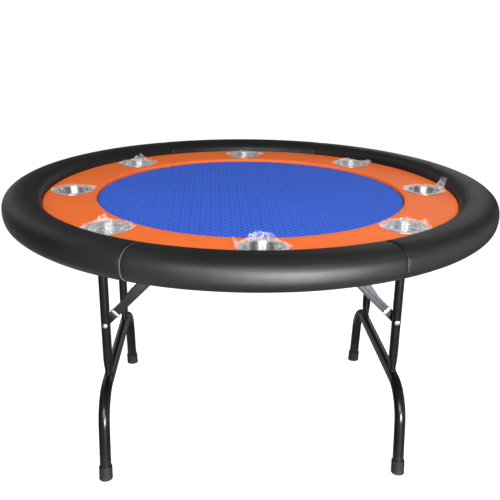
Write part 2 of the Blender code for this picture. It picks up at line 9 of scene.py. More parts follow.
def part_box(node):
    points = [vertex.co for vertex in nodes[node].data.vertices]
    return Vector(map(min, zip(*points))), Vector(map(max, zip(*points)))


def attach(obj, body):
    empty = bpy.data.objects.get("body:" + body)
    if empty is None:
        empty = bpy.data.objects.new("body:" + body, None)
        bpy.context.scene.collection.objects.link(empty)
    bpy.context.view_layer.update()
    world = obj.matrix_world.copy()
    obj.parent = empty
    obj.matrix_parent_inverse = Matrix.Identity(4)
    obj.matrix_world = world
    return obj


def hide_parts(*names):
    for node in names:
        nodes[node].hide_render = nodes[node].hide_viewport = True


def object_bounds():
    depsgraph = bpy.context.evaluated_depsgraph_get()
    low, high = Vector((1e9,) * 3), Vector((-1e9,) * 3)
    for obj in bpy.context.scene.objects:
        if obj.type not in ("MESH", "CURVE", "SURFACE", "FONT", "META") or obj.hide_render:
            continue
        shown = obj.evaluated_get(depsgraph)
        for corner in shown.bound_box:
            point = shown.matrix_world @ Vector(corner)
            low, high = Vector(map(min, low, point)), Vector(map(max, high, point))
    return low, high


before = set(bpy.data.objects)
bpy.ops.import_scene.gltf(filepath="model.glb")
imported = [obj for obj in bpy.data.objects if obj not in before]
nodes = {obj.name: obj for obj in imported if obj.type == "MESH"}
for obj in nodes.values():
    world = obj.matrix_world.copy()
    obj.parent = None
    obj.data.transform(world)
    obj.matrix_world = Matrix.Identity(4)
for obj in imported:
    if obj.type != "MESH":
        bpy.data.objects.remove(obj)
cadLow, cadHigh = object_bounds()
sides = {"left": -1, "right": 1}
rows = {"front": -1, "rear": 1}
print("frame loaded:", len(nodes), "nodes")


# A socket that adds Math nodes when it stands in an expression.
class Value:
    def __init__(self, finish, socket):
        self.finish, self.socket = finish, socket

    def maths(self, operation, *terms, clamp=False):
        settings = {"operation": operation, "use_clamp": clamp}
        return self.finish.add("ShaderNodeMath", settings, dict(enumerate(terms)))

    def __rsub__(self, other):
        return self.maths("SUBTRACT", other, self)

    def clamped(self):
        return self.maths("ADD", self, 0.0, clamp=True)


operations = {"__add__": "ADD", "__radd__": "ADD", "__sub__": "SUBTRACT", "__mul__": "MULTIPLY",
              "__rmul__": "MULTIPLY", "__truediv__": "DIVIDE", "__abs__": "ABSOLUTE", "fraction": "FRACT",
              "whole": "FLOOR", "sine": "SINE", "power": "POWER", "least": "MINIMUM"}
for method, operation in operations.items():
    setattr(Value, method,
            lambda self, *others, operation=operation: self.maths(operation, self, *others))


# A Principled material and the nodes behind it.
class Finish:
    def __init__(self, name, slotName=None, **constants):
        self.material = bpy.data.materials.new(name)
        self.material.use_nodes = True
        self.slotName = slotName
        self.tree = self.material.node_tree
        self.tree.nodes.clear()
        output = self.tree.nodes.new("ShaderNodeOutputMaterial")
        self.shader = self.tree.nodes.new("ShaderNodeBsdfPrincipled")
        self.tree.links.new(self.shader.outputs[0], output.inputs[0])
        self.coordinates = None
        for key, value in constants.items():
            self.plug(key, value)

    def add(self, kind, settings=None, sockets=None, output=0):
        node = self.tree.nodes.new(kind)
        for key, value in (settings or {}).items():
            if key == "stops":
                ramp = node.color_ramp
                while len(ramp.elements) < len(value):
                    ramp.elements.new(0.5)
                for element, (position, colour) in zip(ramp.elements, value):
                    element.position, element.color = position, (*colour, 1)
            else:
                setattr(node, key, value)
        for key, value in (sockets or {}).items():
            self.connect(node.inputs[key], value)
        return Value(self, node.outputs[output])

    def connect(self, socket, value):
        if isinstance(value, Value):
            self.tree.links.new(value.socket, socket)
        elif socket.type == "RGBA" and len(value) == 3:
            socket.default_value = (*value, 1)
        else:
            socket.default_value = value

    def plug(self, name, value):
        # SheenWeight is the socket Sheen Weight
        sockets = {socket.name.replace(" ", "").lower(): socket for socket in self.shader.inputs}
        self.connect(sockets[name.lower()], value)
        return self

    def place(self):
        if self.coordinates is None:
            self.coordinates = self.add("ShaderNodeTexCoord", output="Object")
        return self.coordinates

    def stretched(self, x, y, z):
        sockets = {0: self.place(), 1: (x, y, z)}
        return self.add("ShaderNodeVectorMath", {"operation": "MULTIPLY"}, sockets)

    def parts(self, vector=None):
        node = self.tree.nodes.new("ShaderNodeSeparateXYZ")
        self.connect(node.inputs[0], vector or self.place())
        return [Value(self, socket) for socket in node.outputs]

    def clouds(self, scale, detail=2.0, roughness=0.5, vector=None):
        sockets = {"Vector": vector or self.place(), "Scale": scale, "Detail": detail, "Roughness": roughness}
        return self.add("ShaderNodeTexNoise", {}, sockets)

    def cells(self, scale, feature="F1", vector=None):
        sockets = {"Vector": vector or self.place(), "Scale": scale}
        return self.add("ShaderNodeTexVoronoi", {"feature": feature}, sockets)

    def between(self, share, first, second):
        # Mix of two colours: inputs 6 and 7 are its colour pair
        return self.add("ShaderNodeMix", {"data_type": "RGBA"}, {0: share, 6: first, 7: second}, 2)

    def bump(self, height, distance, strength=1.0, below=None):
        sockets = {"Height": height, "Distance": distance, "Strength": strength}
        if below:
            sockets["Normal"] = below
        return self.add("ShaderNodeBump", {}, sockets)


def leatherFinish(name, slotName, dark, light, roughness, gloss, grain=0.00006, wave=0.0):
    made = Finish(name, slotName, SpecularIorLevel=gloss)
    tone = made.clouds(7, 4, 0.6)
    pores = made.cells(850, "DISTANCE_TO_EDGE")
    made.plug("BaseColor", made.between((tone * 1.6 - 0.3).clamped(), dark, light))
    made.plug("Roughness", roughness + 0.07 * made.clouds(11, 3) + 0.05 * made.clouds(260, 1))
    surface = made.bump((pores * 5).least(1), grain)
    surface = made.bump(made.clouds(1900, 1), grain * 0.5, below=surface)
    if wave:
        surface = made.bump(made.clouds(16, 1, vector=made.stretched(1, 1, 0.4)), wave, below=surface)
    return made.plug("Normal", surface)


def clothFinish():
    sizes = {"thread": 0.0011, "motif": 0.0175, "petalOut": 0.13}
    made = Finish("speedClothWeave", "cloth", SpecularIorLevel=0.15,
                  SheenWeight=0.03, SheenRoughness=0.4, SheenTint=(0.4, 0.6, 1.0))
    x, y, _ = made.parts()
    # staggered motifs, a diamond and a four-leaf in turn, woven tone on tone
    across = (x + y) / sizes["motif"] * 0.7071
    along = (y - x) / sizes["motif"] * 0.7071
    u, v = across.fraction() - 0.5, along.fraction() - 0.5
    turn = ((across.whole() + along.whole()) * 0.5).fraction() * 2
    diamond = abs(u + v) * 1.5 + abs(u - v)
    petals = (abs(u) - sizes["petalOut"]).power(2) + v * v
    petals = petals.least((abs(v) - sizes["petalOut"]).power(2) + u * u)
    diamondMask = ((0.40 - diamond) * 14).clamped()
    leafMask = ((0.017 - petals) * 160).clamped()
    motif = diamondMask * (1 - turn) + leafMask * turn
    twill = ((x + y) * (6.2832 / sizes["thread"])).sine()
    weft = ((x - y) * (6.2832 / sizes["thread"] / 2)).sine()
    cloudy = made.clouds(5, 3)
    fleck = made.clouds(420, 2)
    ground = made.between(cloudy, (0.020, 0.082, 0.52), (0.029, 0.106, 0.58))
    ground = made.between(fleck * 0.55, ground, (0.058, 0.160, 0.72))
    made.plug("BaseColor", made.between(motif * 0.85, ground, (0.007, 0.030, 0.28)))
    made.plug("Roughness", 0.66 + 0.1 * fleck - 0.16 * motif)
    surface = made.bump(twill * 0.5 + weft * 0.3, 0.00005)
    surface = made.bump(motif * -1, 0.0002, 0.6, surface)
    return made.plug("Normal", surface)


def steelFinish():
    made = Finish("pressedSteel", "steel", Metallic=1.0, Anisotropic=0.9, AnisotropicRotation=0.25)
    x, y, z = made.parts()
    radius = (x * x + y * y).power(0.5)
    turning = made.add("ShaderNodeCombineXYZ", {}, {0: radius * 900, 1: z * 900, 2: 0.0})
    brushed = made.clouds(1.0, 3, vector=turning)
    smudge = made.clouds(60, 3)
    made.plug("BaseColor", made.between(smudge, (0.86, 0.86, 0.87), (0.94, 0.94, 0.95)))
    made.plug("Roughness", 0.34 + 0.12 * brushed + 0.08 * smudge)
    return made.plug("Normal", made.bump(brushed, 0.00002, 0.5, made.bump(made.clouds(40, 1), 0.0005)))


def filmFinish():
    made = Finish("clearFilm", None, IOR=1.45, SpecularIorLevel=0.9)
    veil = made.clouds(120, 3)
    edge = made.add("ShaderNodeLayerWeight", {}, {"Blend": 0.35}, "Facing")
    crease = (1 - made.cells(48, "DISTANCE_TO_EDGE") * 17).clamped()
    crease = crease * (made.clouds(50, 2) * 1.8 - 0.4).clamped()
    made.plug("BaseColor", made.between(veil, (0.80, 0.82, 0.86), (0.98, 0.98, 1.0)))
    made.plug("Roughness", 0.06 + 0.10 * veil)
    made.plug("Alpha", (0.05 + edge * 0.30 + (veil - 0.52).clamped() * 0.8 + crease * 0.7).clamped())
    return made.plug("Normal", made.bump(made.clouds(80, 2), 0.0012))


def paintFinish(name, slotName, colour, roughness, peel, speckle=0.0):
    made = Finish(name, slotName, SpecularIorLevel=0.36)
    _, _, z = made.parts()
    dust = made.clouds(34, 4, 0.65)
    low = (0.09 - z).clamped() * 6 * made.clouds(55, 3)
    specks = ((made.cells(650) * -1 + 0.30) * 6).clamped()
    tone = made.between((dust - 0.45).clamped() * 0.5, colour, tuple(c * 1.6 + 0.002 for c in colour))
    if speckle:
        tone = made.between(specks * speckle, tone, (0.22, 0.22, 0.23))
    made.plug("BaseColor", made.between(low * 0.25, tone, (0.09, 0.085, 0.08)))
    made.plug("Roughness", roughness + 0.10 * (dust - 0.4).clamped() + 0.25 * low)
    surface = made.bump(made.clouds(480, 2), peel)
    return made.plug("Normal", made.bump(made.clouds(1500, 1), peel * 0.4, below=surface))


def zincFinish():
    made = Finish("brightZinc", "zinc", Metallic=1.0)
    dull = made.clouds(140, 3)
    made.plug("BaseColor", made.between(dull, (0.60, 0.60, 0.57), (0.86, 0.86, 0.84)))
    made.plug("Roughness", 0.20 + 0.22 * dull)
    return made.plug("Normal", made.bump(made.clouds(700, 2), 0.00003))


def rubberFinish():
    made = Finish("footRubber", "rubber", SpecularIorLevel=0.35)
    dust = made.clouds(90, 4, 0.7)
    _, _, z = made.parts()
    worn = (0.010 - z).clamped() * 60 * dust
    dusty = (dust - 0.5).clamped() + worn * 0.6
    made.plug("BaseColor", made.between(dusty, (0.006, 0.006, 0.006), (0.04, 0.038, 0.035)))
    made.plug("Roughness", 0.62 + 0.2 * dust)
    return made.plug("Normal", made.bump(made.clouds(900, 2), 0.00008))


def boardFinish(name, slotName, dark, light, roughness, fibre):
    made = Finish(name, slotName)
    strands = made.clouds(120, 5, 0.7, made.stretched(1, 3.5, 1))
    patch = made.clouds(6, 4)
    made.plug("BaseColor", made.between((strands * 0.7 + patch * 0.5 - 0.1).clamped(), dark, light))
    made.plug("Roughness", roughness + 0.12 * patch)
    return made.plug("Normal", made.bump(strands, fibre, below=made.bump(made.clouds(900, 2), fibre * 0.5)))


def foamFinish():
    made = Finish("openFoam", "foam")
    pores = made.cells(1400)
    # the pits are painted darker, a painted shade in each pore
    made.plug("BaseColor", made.between(pores * 1.5, (0.40, 0.38, 0.32), (0.66, 0.64, 0.57)))
    made.plug("Roughness", 0.85 + 0.1 * pores)
    return made.plug("Normal", made.bump(pores, 0.0003))


def threadFinish(name, slotName, colour):
    made = Finish(name, slotName, SpecularIorLevel=0.15)
    twistAndHighlight = (made.clouds(1600, 2) * 9).sine()
    # the raised strands of the twist are painted lighter, a painted highlight
    share = (twistAndHighlight * 0.5 + 0.5).clamped() * 0.5
    made.plug("BaseColor", made.between(share, colour, tuple(c * 2.2 for c in colour)))
    made.plug("Roughness", 0.6 + 0.15 * made.clouds(700, 1))
    return made.plug("Normal", made.bump(twistAndHighlight, 0.00006))


railLeather = leatherFinish("railLeather", "rail_leather", (0.0046, 0.0043, 0.0040), (0.0080, 0.0076, 0.0074),
                            0.38, gloss=0.42, wave=0.0012)
racetrackVinyl = leatherFinish("racetrackVinyl", "racetrack_vinyl", (0.80, 0.142, 0.020),
                               (0.87, 0.164, 0.026), 0.42, gloss=0.28, grain=0.00004, wave=0.0010)
speedWeave = clothFinish()
pressedSteel = steelFinish()
clearFilm = filmFinish()
legBlack = paintFinish("legBlack", "leg_paint", (0.0030, 0.0031, 0.0042), 0.24, 0.00005)
# two copies of the one brace paint: black for the left braces and a lighter grey for the right, painted light
# where the right braces look lit
braceBlack = paintFinish("braceBlack", "brace_paint", (0.006, 0.006, 0.0065), 0.34, 0.00009, speckle=0.1)
braceGrey = paintFinish("braceGrey", "brace_paint", (0.018, 0.018, 0.020), 0.46, 0.00012, speckle=0.7)
bracketBlack = paintFinish("bracketBlack", "bracket_paint", (0.012, 0.012, 0.013), 0.38, 0.00008,
                           speckle=0.1)
brightZinc = zincFinish()
footRubber = rubberFinish()
darkBoard = boardFinish("darkBoard", "board_finish", (0.016, 0.015, 0.014), (0.040, 0.037, 0.034),
                        0.55, 0.00015)
pressedBoard = boardFinish("pressedBoard", "raw_board", (0.27, 0.18, 0.10), (0.52, 0.38, 0.24), 0.75, 0.0003)
openFoam = foamFinish()
blackThread = threadFinish("blackThread", "rail_leather", (0.005, 0.005, 0.005))
# pale grey thread for the front-left seam's piping, a painted highlight where that seam catches the light
paintedHighlightThread = threadFinish("paintedHighlightThread", "rail_leather", (0.07, 0.07, 0.07))
print("finishes made")


def polar(r, a, z=0.0):
    return (r * cos(a), r * sin(a), z)


def rectangle(x, y):
    return [(-x, -y), (x, -y), (x, y), (-x, y)]


def loft(rings, closed=True, caps=True, loop=False):
    # Quads between rings of points. closed joins each ring's ends, loop joins the last ring to the first.
    count = len(rings[0])
    points = [tuple(p) for ring in rings for p in ring]
    faces = []
    for i in range(len(rings) if loop else len(rings) - 1):
        a, b = i * count, (i + 1) % len(rings) * count
        for j in range(count if closed else count - 1):
            k = (j + 1) % count
            faces.append((a + j, a + k, b + k, b + j))
    if caps and not loop:
        faces.append(tuple(reversed(range(count))))
        faces.append(tuple(range(len(points) - count, len(points))))
    return points, faces


def welded(mesh, distance, dissolve):
    shape = bmesh.new()
    shape.from_mesh(mesh)
    bmesh.ops.remove_doubles(shape, verts=shape.verts, dist=distance)
    if dissolve:
        bmesh.ops.dissolve_degenerate(shape, edges=shape.edges, dist=distance)
    bmesh.ops.recalc_face_normals(shape, faces=shape.faces)
    shape.to_mesh(mesh)
    shape.free()
    return mesh


def meshOf(name, *shapes, weld=1e-6):
    points, faces = [], []
    for somePoints, someFaces in shapes:
        start = len(points)
        points += somePoints
        faces += [tuple(start + i for i in face) for face in someFaces]
    mesh = bpy.data.meshes.new(name)
    mesh.from_pydata(points, [], faces)
    return welded(mesh, weld, True)


def shapeOf(mesh, matrix=Matrix()):
    points = [tuple(matrix @ v.co) for v in mesh.vertices]
    faces = [tuple(face.vertices) for face in mesh.polygons]
    return points, [face[::-1] for face in faces] if matrix.determinant() < 0 else faces


def piece(name, mesh, finish, body, stands=(), sharp=32, location=(0, 0, 0)):
    thing = bpy.data.objects.new(name, mesh)
    bpy.context.scene.collection.objects.link(thing)
    thing.location = location
    if not mesh.materials:
        mesh.materials.append(finish.material)
        mesh.shade_smooth()
        mesh.set_sharp_from_angle(angle=radians(sharp))
    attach(thing, body)
    if stands:
        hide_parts(*([stands] if isinstance(stands, str) else stands))
    return thing


def lathe(profile, turns=48, closed=False):
    rings = []
    for i in range(turns):
        a = 2 * pi * i / turns
        rings.append([polar(r, a, z) for r, z in profile])
    return loft(rings, closed=closed, loop=True)


def arc(centre, radius, start, end, steps):
    angles = [radians(start + (end - start) * i / steps) for i in range(steps + 1)]
    return [(centre[0] + radius * cos(a), centre[1] + radius * sin(a)) for a in angles]


def rounded(corners, steps=5):
    # An outline with each corner (x, y, radius) rounded.
    outline = []
    for i, (x, y, radius) in enumerate(corners):
        here = Vector((x, y))
        before = (Vector(corners[i - 1][:2]) - here).normalized()
        after = (Vector(corners[(i + 1) % len(corners)][:2]) - here).normalized()
        if radius <= 0:
            outline.append(tuple(here))
            continue
        half = before.angle(after) / 2
        centre = here + (before + after).normalized() * radius / sin(half)
        first = here + before * radius / tan(half) - centre
        last = here + after * radius / tan(half) - centre
        turn = first.angle_signed(last)
        for k in range(steps + 1):
            step = Matrix.Rotation(-turn * k / steps, 2) @ first
            outline.append(tuple(centre + step))
    return outline


def evaluated(thing):
    # The object's mesh with its modifiers; the object itself goes.
    bpy.context.view_layer.update()
    mesh = bpy.data.meshes.new_from_object(thing.evaluated_get(bpy.context.evaluated_depsgraph_get()))
    bpy.data.objects.remove(thing)
    mesh.materials.clear()
    return mesh


def plateMesh(name, outlines, thickness, bevel=0.0004):
    # Flat metal in XY with eased edges; the first outline is the edge and the others are holes.
    curve = bpy.data.curves.new(name, "CURVE")
    curve.dimensions, curve.fill_mode = "2D", "BOTH"
    curve.extrude = thickness / 2 - bevel
    curve.bevel_depth, curve.bevel_resolution = bevel, 2
    curve.offset = -bevel
    for outline in outlines:
        spline = curve.splines.new("POLY")
        spline.points.add(len(outline) - 1)
        for point, (x, y) in zip(spline.points, outline):
            point.co = (x, y, 0, 1)
        spline.use_cyclic_u = True
    thing = bpy.data.objects.new(name, curve)
    bpy.context.scene.collection.objects.link(thing)
    return welded(evaluated(thing), 1e-6, False)


def cutMesh(mesh, cutterMesh):
    target = bpy.data.objects.new("target", mesh)
    tool = bpy.data.objects.new("tool", cutterMesh)
    for thing in (target, tool):
        bpy.context.scene.collection.objects.link(thing)
    modifier = target.modifiers.new("cut", "BOOLEAN")
    modifier.operation, modifier.object = "DIFFERENCE", tool
    made = evaluated(target)
    bpy.data.objects.remove(tool)
    return made


def axes(origin, xAxis, yAxis, zAxis):
    return Matrix.Translation(origin) @ Matrix((xAxis, yAxis, zAxis)).transposed().to_4x4()


def middle(node):
    low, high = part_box(node)
    return (low + high) / 2


def wobble(point, scale, seed=0.0):
    return noise.noise(Vector(point) * scale + Vector((seed, seed * 1.7, -seed)))


rim = cadHigh.x
railLow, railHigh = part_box("left_rail_pad")
coverLow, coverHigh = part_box("racetrack_cover")
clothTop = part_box("speed_cloth")[1].z
baseLow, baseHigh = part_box("base_board")
cupSpots = [middle(f"cup_holder_{i + 1}") for i in range(8)]
# the underside of the flanges
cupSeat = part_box("cup_holder_1")[1].z - 0.0015

rail = {"width": 0.099, "height": 0.077, "square": 2.5, "seam": 26, "gap": 0.0005, "innerWall": 0.014,
        "lap": 0.040, "around": 60, "along": 110, "pinch": 0.0015, "wave": 0.00035, "slotDown": 0.0362,
        "inside": 203.5, "under": -106}
railMiddle = rim - rail["width"] / 2
railInner = rim - rail["width"]
railCentreZ = railHigh.z - rail["height"] / 2


def railSection(t, grow=0.0):
    # The padded section at t degrees: 0 outside, 90 on top, 180 inside.
    power = 2 / rail["square"]
    c, s = cos(radians(t)), sin(radians(t))
    half, tall = rail["width"] / 2 + grow, rail["height"] / 2 + grow
    r = railMiddle + half * copysign(abs(c) ** power, c)
    z = railCentreZ + tall * copysign(abs(s) ** power, s)
    return r, z


def railPad(name, node, start, end):
    core = baseHigh.x + 0.0003
    lapZ, boardZ, slotTop = baseLow.z - 0.0003, baseHigh.z + 0.0003, railHigh.z - rail["slotDown"]
    inner = railInner + rail["innerWall"]
    steps, sweep = rail["around"], rail["inside"] - rail["under"]
    section = [rail["inside"] - sweep * i / steps for i in range(steps + 1)]
    trim = degrees(rail["gap"] / 2 / railInner)
    start, end = start + trim, end - trim
    near = [0, 0.03, 0.08, 0.15, 0.25, 0.4, 0.6, 0.85, 1.2]
    inside = [near[-1] + (end - start - 2 * near[-1]) * i / rail["along"] for i in range(1, rail["along"])]
    turns = near + inside + [end - start - a for a in reversed(near)]
    rings = []
    for turn in turns:
        a = radians(start + turn)
        along = radians(min(turn, end - start - turn)) * railMiddle
        pull = rail["pinch"] * exp(-along / 0.0032) + 0.0007 * exp(-along / 0.014)
        ring = []
        for i, t in enumerate(section):
            spot = (cos(a), sin(a), t / 60)
            soft = wobble(spot, 5.0) * rail["wave"]
            crease = sin(t * 0.34 + 3 * wobble(spot, 3)) * 0.0004 * exp(-along / 0.02)
            r, z = railSection(t, soft + crease - pull - 0.0003)
            ring.append((r, z))
        ring = [(ring[0][0] + 0.0004, boardZ)] + ring
        ring.append((core - rail["lap"], min(ring[-1][1] + 0.0002, lapZ - 0.0008)))
        ring += [(core - rail["lap"], lapZ), (core, lapZ), (core, slotTop), (inner, slotTop), (inner, boardZ)]
        rings.append([polar(r, a, z) for r, z in ring])
    made = piece(name, meshOf(name, loft(rings)), railLeather, "table", node, sharp=50)


seams = {"frontLeft": 270 - rail["seam"], "frontRight": 270 + rail["seam"],
         "rearLeft": 90 + rail["seam"], "rearRight": 90 - rail["seam"]}
railPad("railFront", "front_rail_pad", seams["frontLeft"], seams["frontRight"])
railPad("railRight", "right_rail_pad", seams["frontRight"] - 360, seams["rearRight"])
railPad("railRear", "rear_rail_pad", seams["rearRight"], seams["rearLeft"])
railPad("railLeft", "left_rail_pad", seams["rearLeft"], seams["frontLeft"])
print("rail pads made")

stitch = {"length": 0.0034, "pitch": 0.0046, "thread": 0.00038, "offset": 0.0046, "from": 176, "to": -64}


def threadBit(first, last, lift, radius):
    # One stitch: a short thread that dips in at both ends.
    along = (last - first).normalized()
    side = along.cross(lift).normalized()
    rings = []
    for share, high, size in ((0, -0.5, 0.5), (0.12, 0.35, 0.9), (0.5, 0.75, 1), (0.88, 0.35, 0.9),
                              (1, -0.5, 0.5)):
        centre = first.lerp(last, share) + lift * radius * high
        rings.append([centre + (side * cos(b) + lift * sin(b)) * radius * size
                      for b in (pi * k / 3 for k in range(6))])
    return loft(rings)


def seamStitches(name, angle, finish):
    shapes = []
    for side in (-1, 1):
        a = radians(angle) + side * stitch["offset"] / railMiddle
        line = []
        for t in range(stitch["from"], stitch["to"], -1):
            r, z = railSection(t, -0.0011)
            line.append(Vector(polar(r, a, z)))
        centre = Vector(polar(railMiddle, a, railCentreZ))
        walked, begin = 0.0, line[0]
        for here, following in zip(line, line[1:]):
            walked += (following - here).length
            if walked >= stitch["pitch"]:
                walked = 0.0
                last = begin.lerp(following, stitch["length"] / stitch["pitch"])
                lift = ((begin + last) / 2 - centre).normalized()
                shapes.append(threadBit(begin, last, lift, stitch["thread"]))
                begin = following
    piece(name, meshOf(name, *shapes), finish, "table")


def seamPiping(name, angle, finish, stand):
    # The sewn edge that shows in the groove between two pads.
    a = radians(angle)
    side = Vector((-sin(a), cos(a), 0))
    rings = []
    for t in range(172, -72, -3):
        r, z = railSection(t, stand)
        inR, inZ = railSection(t, stand - 0.0016)
        outer, inner = Vector(polar(r, a, z)), Vector(polar(inR, a, inZ))
        half = side * 0.00055
        crown = outer + (outer - inner) * 0.15
        rings.append([inner - half, outer - half * 0.8, crown, outer + half * 0.8, inner + half])
    piece(name, meshOf(name, loft(rings)), finish, "table")


for spot, angle in seams.items():
    seamStitches("seamStitches." + spot, angle, blackThread)
    # the front-left piping gets the pale thread, a painted highlight; the other seams' piping is black
    paintedHighlightSeam = spot == "frontLeft"
    seamPiping("seamPiping." + spot, angle, *((paintedHighlightThread, -0.0009) if paintedHighlightSeam else (blackThread, -0.0016)))
print("seams sewn")


def stapleShape(length, wire):
    # A flat-topped staple, crown along X.
    half = length / 2
    path = [(-half, -0.0006), (-half + 0.0003, wire * 0.7), (-half + 0.0012, wire)]
    path += [(-x, z) for x, z in reversed(path)]
    side = wire * 0.6
    return loft([[(x, -side, z - wire), (x, side, z - wire), (x, side, z), (x, -side, z)] for x, z in path])


staples = {"radius": 0.6005, "spacing": 0.031, "crown": 0.0105, "wire": 0.0006}
random.seed(4)
shapes = []
count = int(2 * pi * staples["radius"] / staples["spacing"])
points, faces = stapleShape(staples["crown"], staples["wire"])
for i in range(count):
    a = 2 * pi * (i + random.uniform(-0.18, 0.18)) / count
    r = staples["radius"] + random.uniform(-0.0025, 0.0025)
    spin = Matrix.Rotation(a + pi / 2 + random.uniform(-0.25, 0.25), 4, "Z")
    spin = spin @ Matrix.Rotation(pi, 4, "X")
    place = Matrix.Translation(polar(r, a, railLow.z + 0.0001)) @ spin
    shapes.append(([tuple(place @ Vector(p)) for p in points], faces))
piece("railStaples", meshOf("railStaples", *shapes), brightZinc, "table")


def polarGrid(profile, turns, height):
    # A turned ring or disc whose points are moved by height(x, y, r, z).
    rings = []
    for i in range(turns):
        a = 2 * pi * i / turns
        ring = []
        for r, z in profile:
            x, y, z = polar(r, a, z)
            ring.append((x, y, height(x, y, r, z)))
        rings.append(ring)
    return rings


cover = {"inner": 0.420, "edge": 0.0055, "outer": railInner - 0.0005, "puff": 0.0010, "turns": 320,
         "hole": 0.0445, "flange": 0.0535, "thick": 0.005}


def wellCutter(radius, low, high):
    shapes = []
    for spot in cupSpots:
        points, faces = lathe([(0, low), (radius, low), (radius, high), (0, high)], 48)
        shapes.append(([(x + spot.x, y + spot.y, z) for x, y, z in points], faces))
    return meshOf("wells", *shapes)


def coverHeight(x, y, r, z):
    if z < coverHigh.z - 0.0012:
        return z
    near = min(hypot(x - c.x, y - c.y) for c in cupSpots)
    share = 1 - exp(-(max(near - cover["flange"], 0) / 0.011) ** 2)
    fromEdge = min(r - cover["inner"], cover["outer"] - r)
    share *= 1 - exp(-(max(fromEdge - 0.002, 0) / 0.012))
    return z + cover["puff"] * share + 0.0003 * wobble((x, y, 0), 22) * share


def makeRacetrack():
    top, edge, under = coverHigh.z, cover["edge"], coverHigh.z - cover["thick"]
    start = cover["inner"]
    profile = [(start, coverLow.z), (start, coverLow.z + 0.004), (start, coverLow.z + 0.012)]
    profile += arc((start + edge, top - edge), edge, 180, 90, 8)
    width = cover["outer"] - start - edge
    profile += [(start + edge + width * i / 26, top) for i in range(1, 26)]
    profile += [(cover["outer"] - 0.0028, top - 0.0002), (cover["outer"] - 0.0010, top - 0.0011),
                (cover["outer"], top - 0.0028), (cover["outer"], under + 0.0003)]
    profile += [(start + 0.0012, under + 0.0003), (start + 0.0012, coverLow.z)]
    rings = polarGrid(profile, cover["turns"], coverHeight)
    ring = meshOf("racetrackCover", loft(rings, closed=True, loop=True))
    cut = cutMesh(ring, wellCutter(cover["hole"], coverLow.z, top + 0.02))
    cut.name = "racetrackCover"
    made = piece("racetrackPadding", cut, racetrackVinyl, "table", "racetrack_cover", sharp=40)


makeRacetrack()
print("racetrack made")

field = {"radius": 0.4177, "wrap": 0.0165, "thick": 0.0004, "corner": 0.0022}


def clothHeight(x, y, r, z):
    return z + 0.00005 * wobble((x, y, 0), 30) - (0.00004 if r < 0.41 else 0)


def makeCloth():
    # Stretched over the foam and down the edge of the playing board.
    top = clothTop
    profile = [(0, top)] + [(field["radius"] * i / 44, top) for i in range(1, 44)]
    corner, outside = field["corner"], field["radius"] + field["thick"]
    profile += arc((outside - corner, top - corner), corner, 90, 0, 5)
    profile += [(outside, top - 0.008), (outside, top - field["wrap"])]
    rings = polarGrid(profile, 240, clothHeight)
    mesh = meshOf("speedClothField", loft(rings, closed=False, loop=True))
    made = piece("speedClothField", mesh, speedWeave, "table", "speed_cloth", sharp=60)


makeCloth()


def makeBase():
    top, low, edge = baseHigh.z, baseLow.z, 0.0006
    r = baseHigh.x
    profile = [(0, low), (0.2, low), (0.4, low), (0.55, low), (r - edge, low), (r, low + edge), (r, top),
               (0, top)]
    board = meshOf("base", lathe(profile, 128))
    cut = cutMesh(board, wellCutter(0.0443, low - 0.01, top + 0.01))
    piece("baseBoard", cut, darkBoard, "table", "base_board", sharp=30)


makeBase()
for name, finish in (("play_board", pressedBoard), ("racetrack_board", pressedBoard),
                     ("rail_core", pressedBoard), ("play_foam", openFoam)):
    nodes[name].data.materials.clear()
    nodes[name].data.materials.append(finish.material)
print("boards and cloth made")


cup = {"well": 0.042, "sheet": 0.0008, "depth": 0.0665, "flange": 0.0535, "lip": 0.0022, "corner": 0.009,
       "top": 0.0015, "curl": 0.0013}


def cupMesh():
    # Z 0 is the underside of the flange.
    well, sheet, floor = cup["well"], cup["sheet"], -cup["depth"]
    top, lip, corner, curl = cup["top"], cup["lip"], cup["corner"], cup["curl"]
    bottom = floor + sheet
    inside = [(0, bottom), (0.012, bottom), (0.0135, bottom + 0.0009), (0.015, bottom), (0.024, bottom),
              (0.0258, bottom + 0.0010), (0.0276, bottom)]
    inside += arc((well - 0.0006 - corner, bottom + corner), corner, -90, 0, 8)
    inside += [(well - 0.0004, -0.035), (well - 0.0002, -0.012)]
    inside += arc((well + lip, top - lip), lip, 180, 90, 7)
    flange = [(0.0475, top + 0.0002), (0.0505, top + 0.0002)]
    flange += arc((cup["flange"] - curl, top - curl), curl, 90, -20, 7)
    flange += [(cup["flange"] - 0.0006, 0.0001), (0.050, 0.0003), (well + 0.0036, 0.0003)]
    outside = [(well + sheet, -0.004), (well + sheet, -0.035)]
    outside += arc((well + sheet - 0.0006 - corner, floor + corner), corner, 0, -90, 8)
    outside += [(0.0276, floor), (0.0258, floor + 0.0006), (0.024, floor), (0, floor)]
    return meshOf("cupHolder", lathe(inside + flange + outside, 96))


sharedCup = cupMesh()
for i, spot in enumerate(cupSpots):
    piece(f"cupHolder.{i + 1}", sharedCup, pressedSteel, "table", f"cup_holder_{i + 1}", sharp=28,
          location=(spot.x, spot.y, cupSeat))
print("cup holders made")


def crumpled(point, seed, size):
    # Three numbers that change along straight sharp folds, as crushed film does.
    draw = random.Random(seed)
    moved = Vector()
    for k, weight in enumerate((1.0, 0.8, 0.6, 0.5, 0.35, 0.3, 0.22)):
        way = Vector((draw.uniform(-1, 1), draw.uniform(-1, 1), draw.uniform(-0.7, 0.7))).normalized()
        push = Vector((draw.uniform(-1, 1), draw.uniform(-1, 1), draw.uniform(-1, 1)))
        phase = (point.dot(way) / size * (1 + 0.28 * k) + draw.uniform(0, 2)) % 2
        moved += push * (abs(phase - 1) - 0.5) * weight
    return moved * 0.6


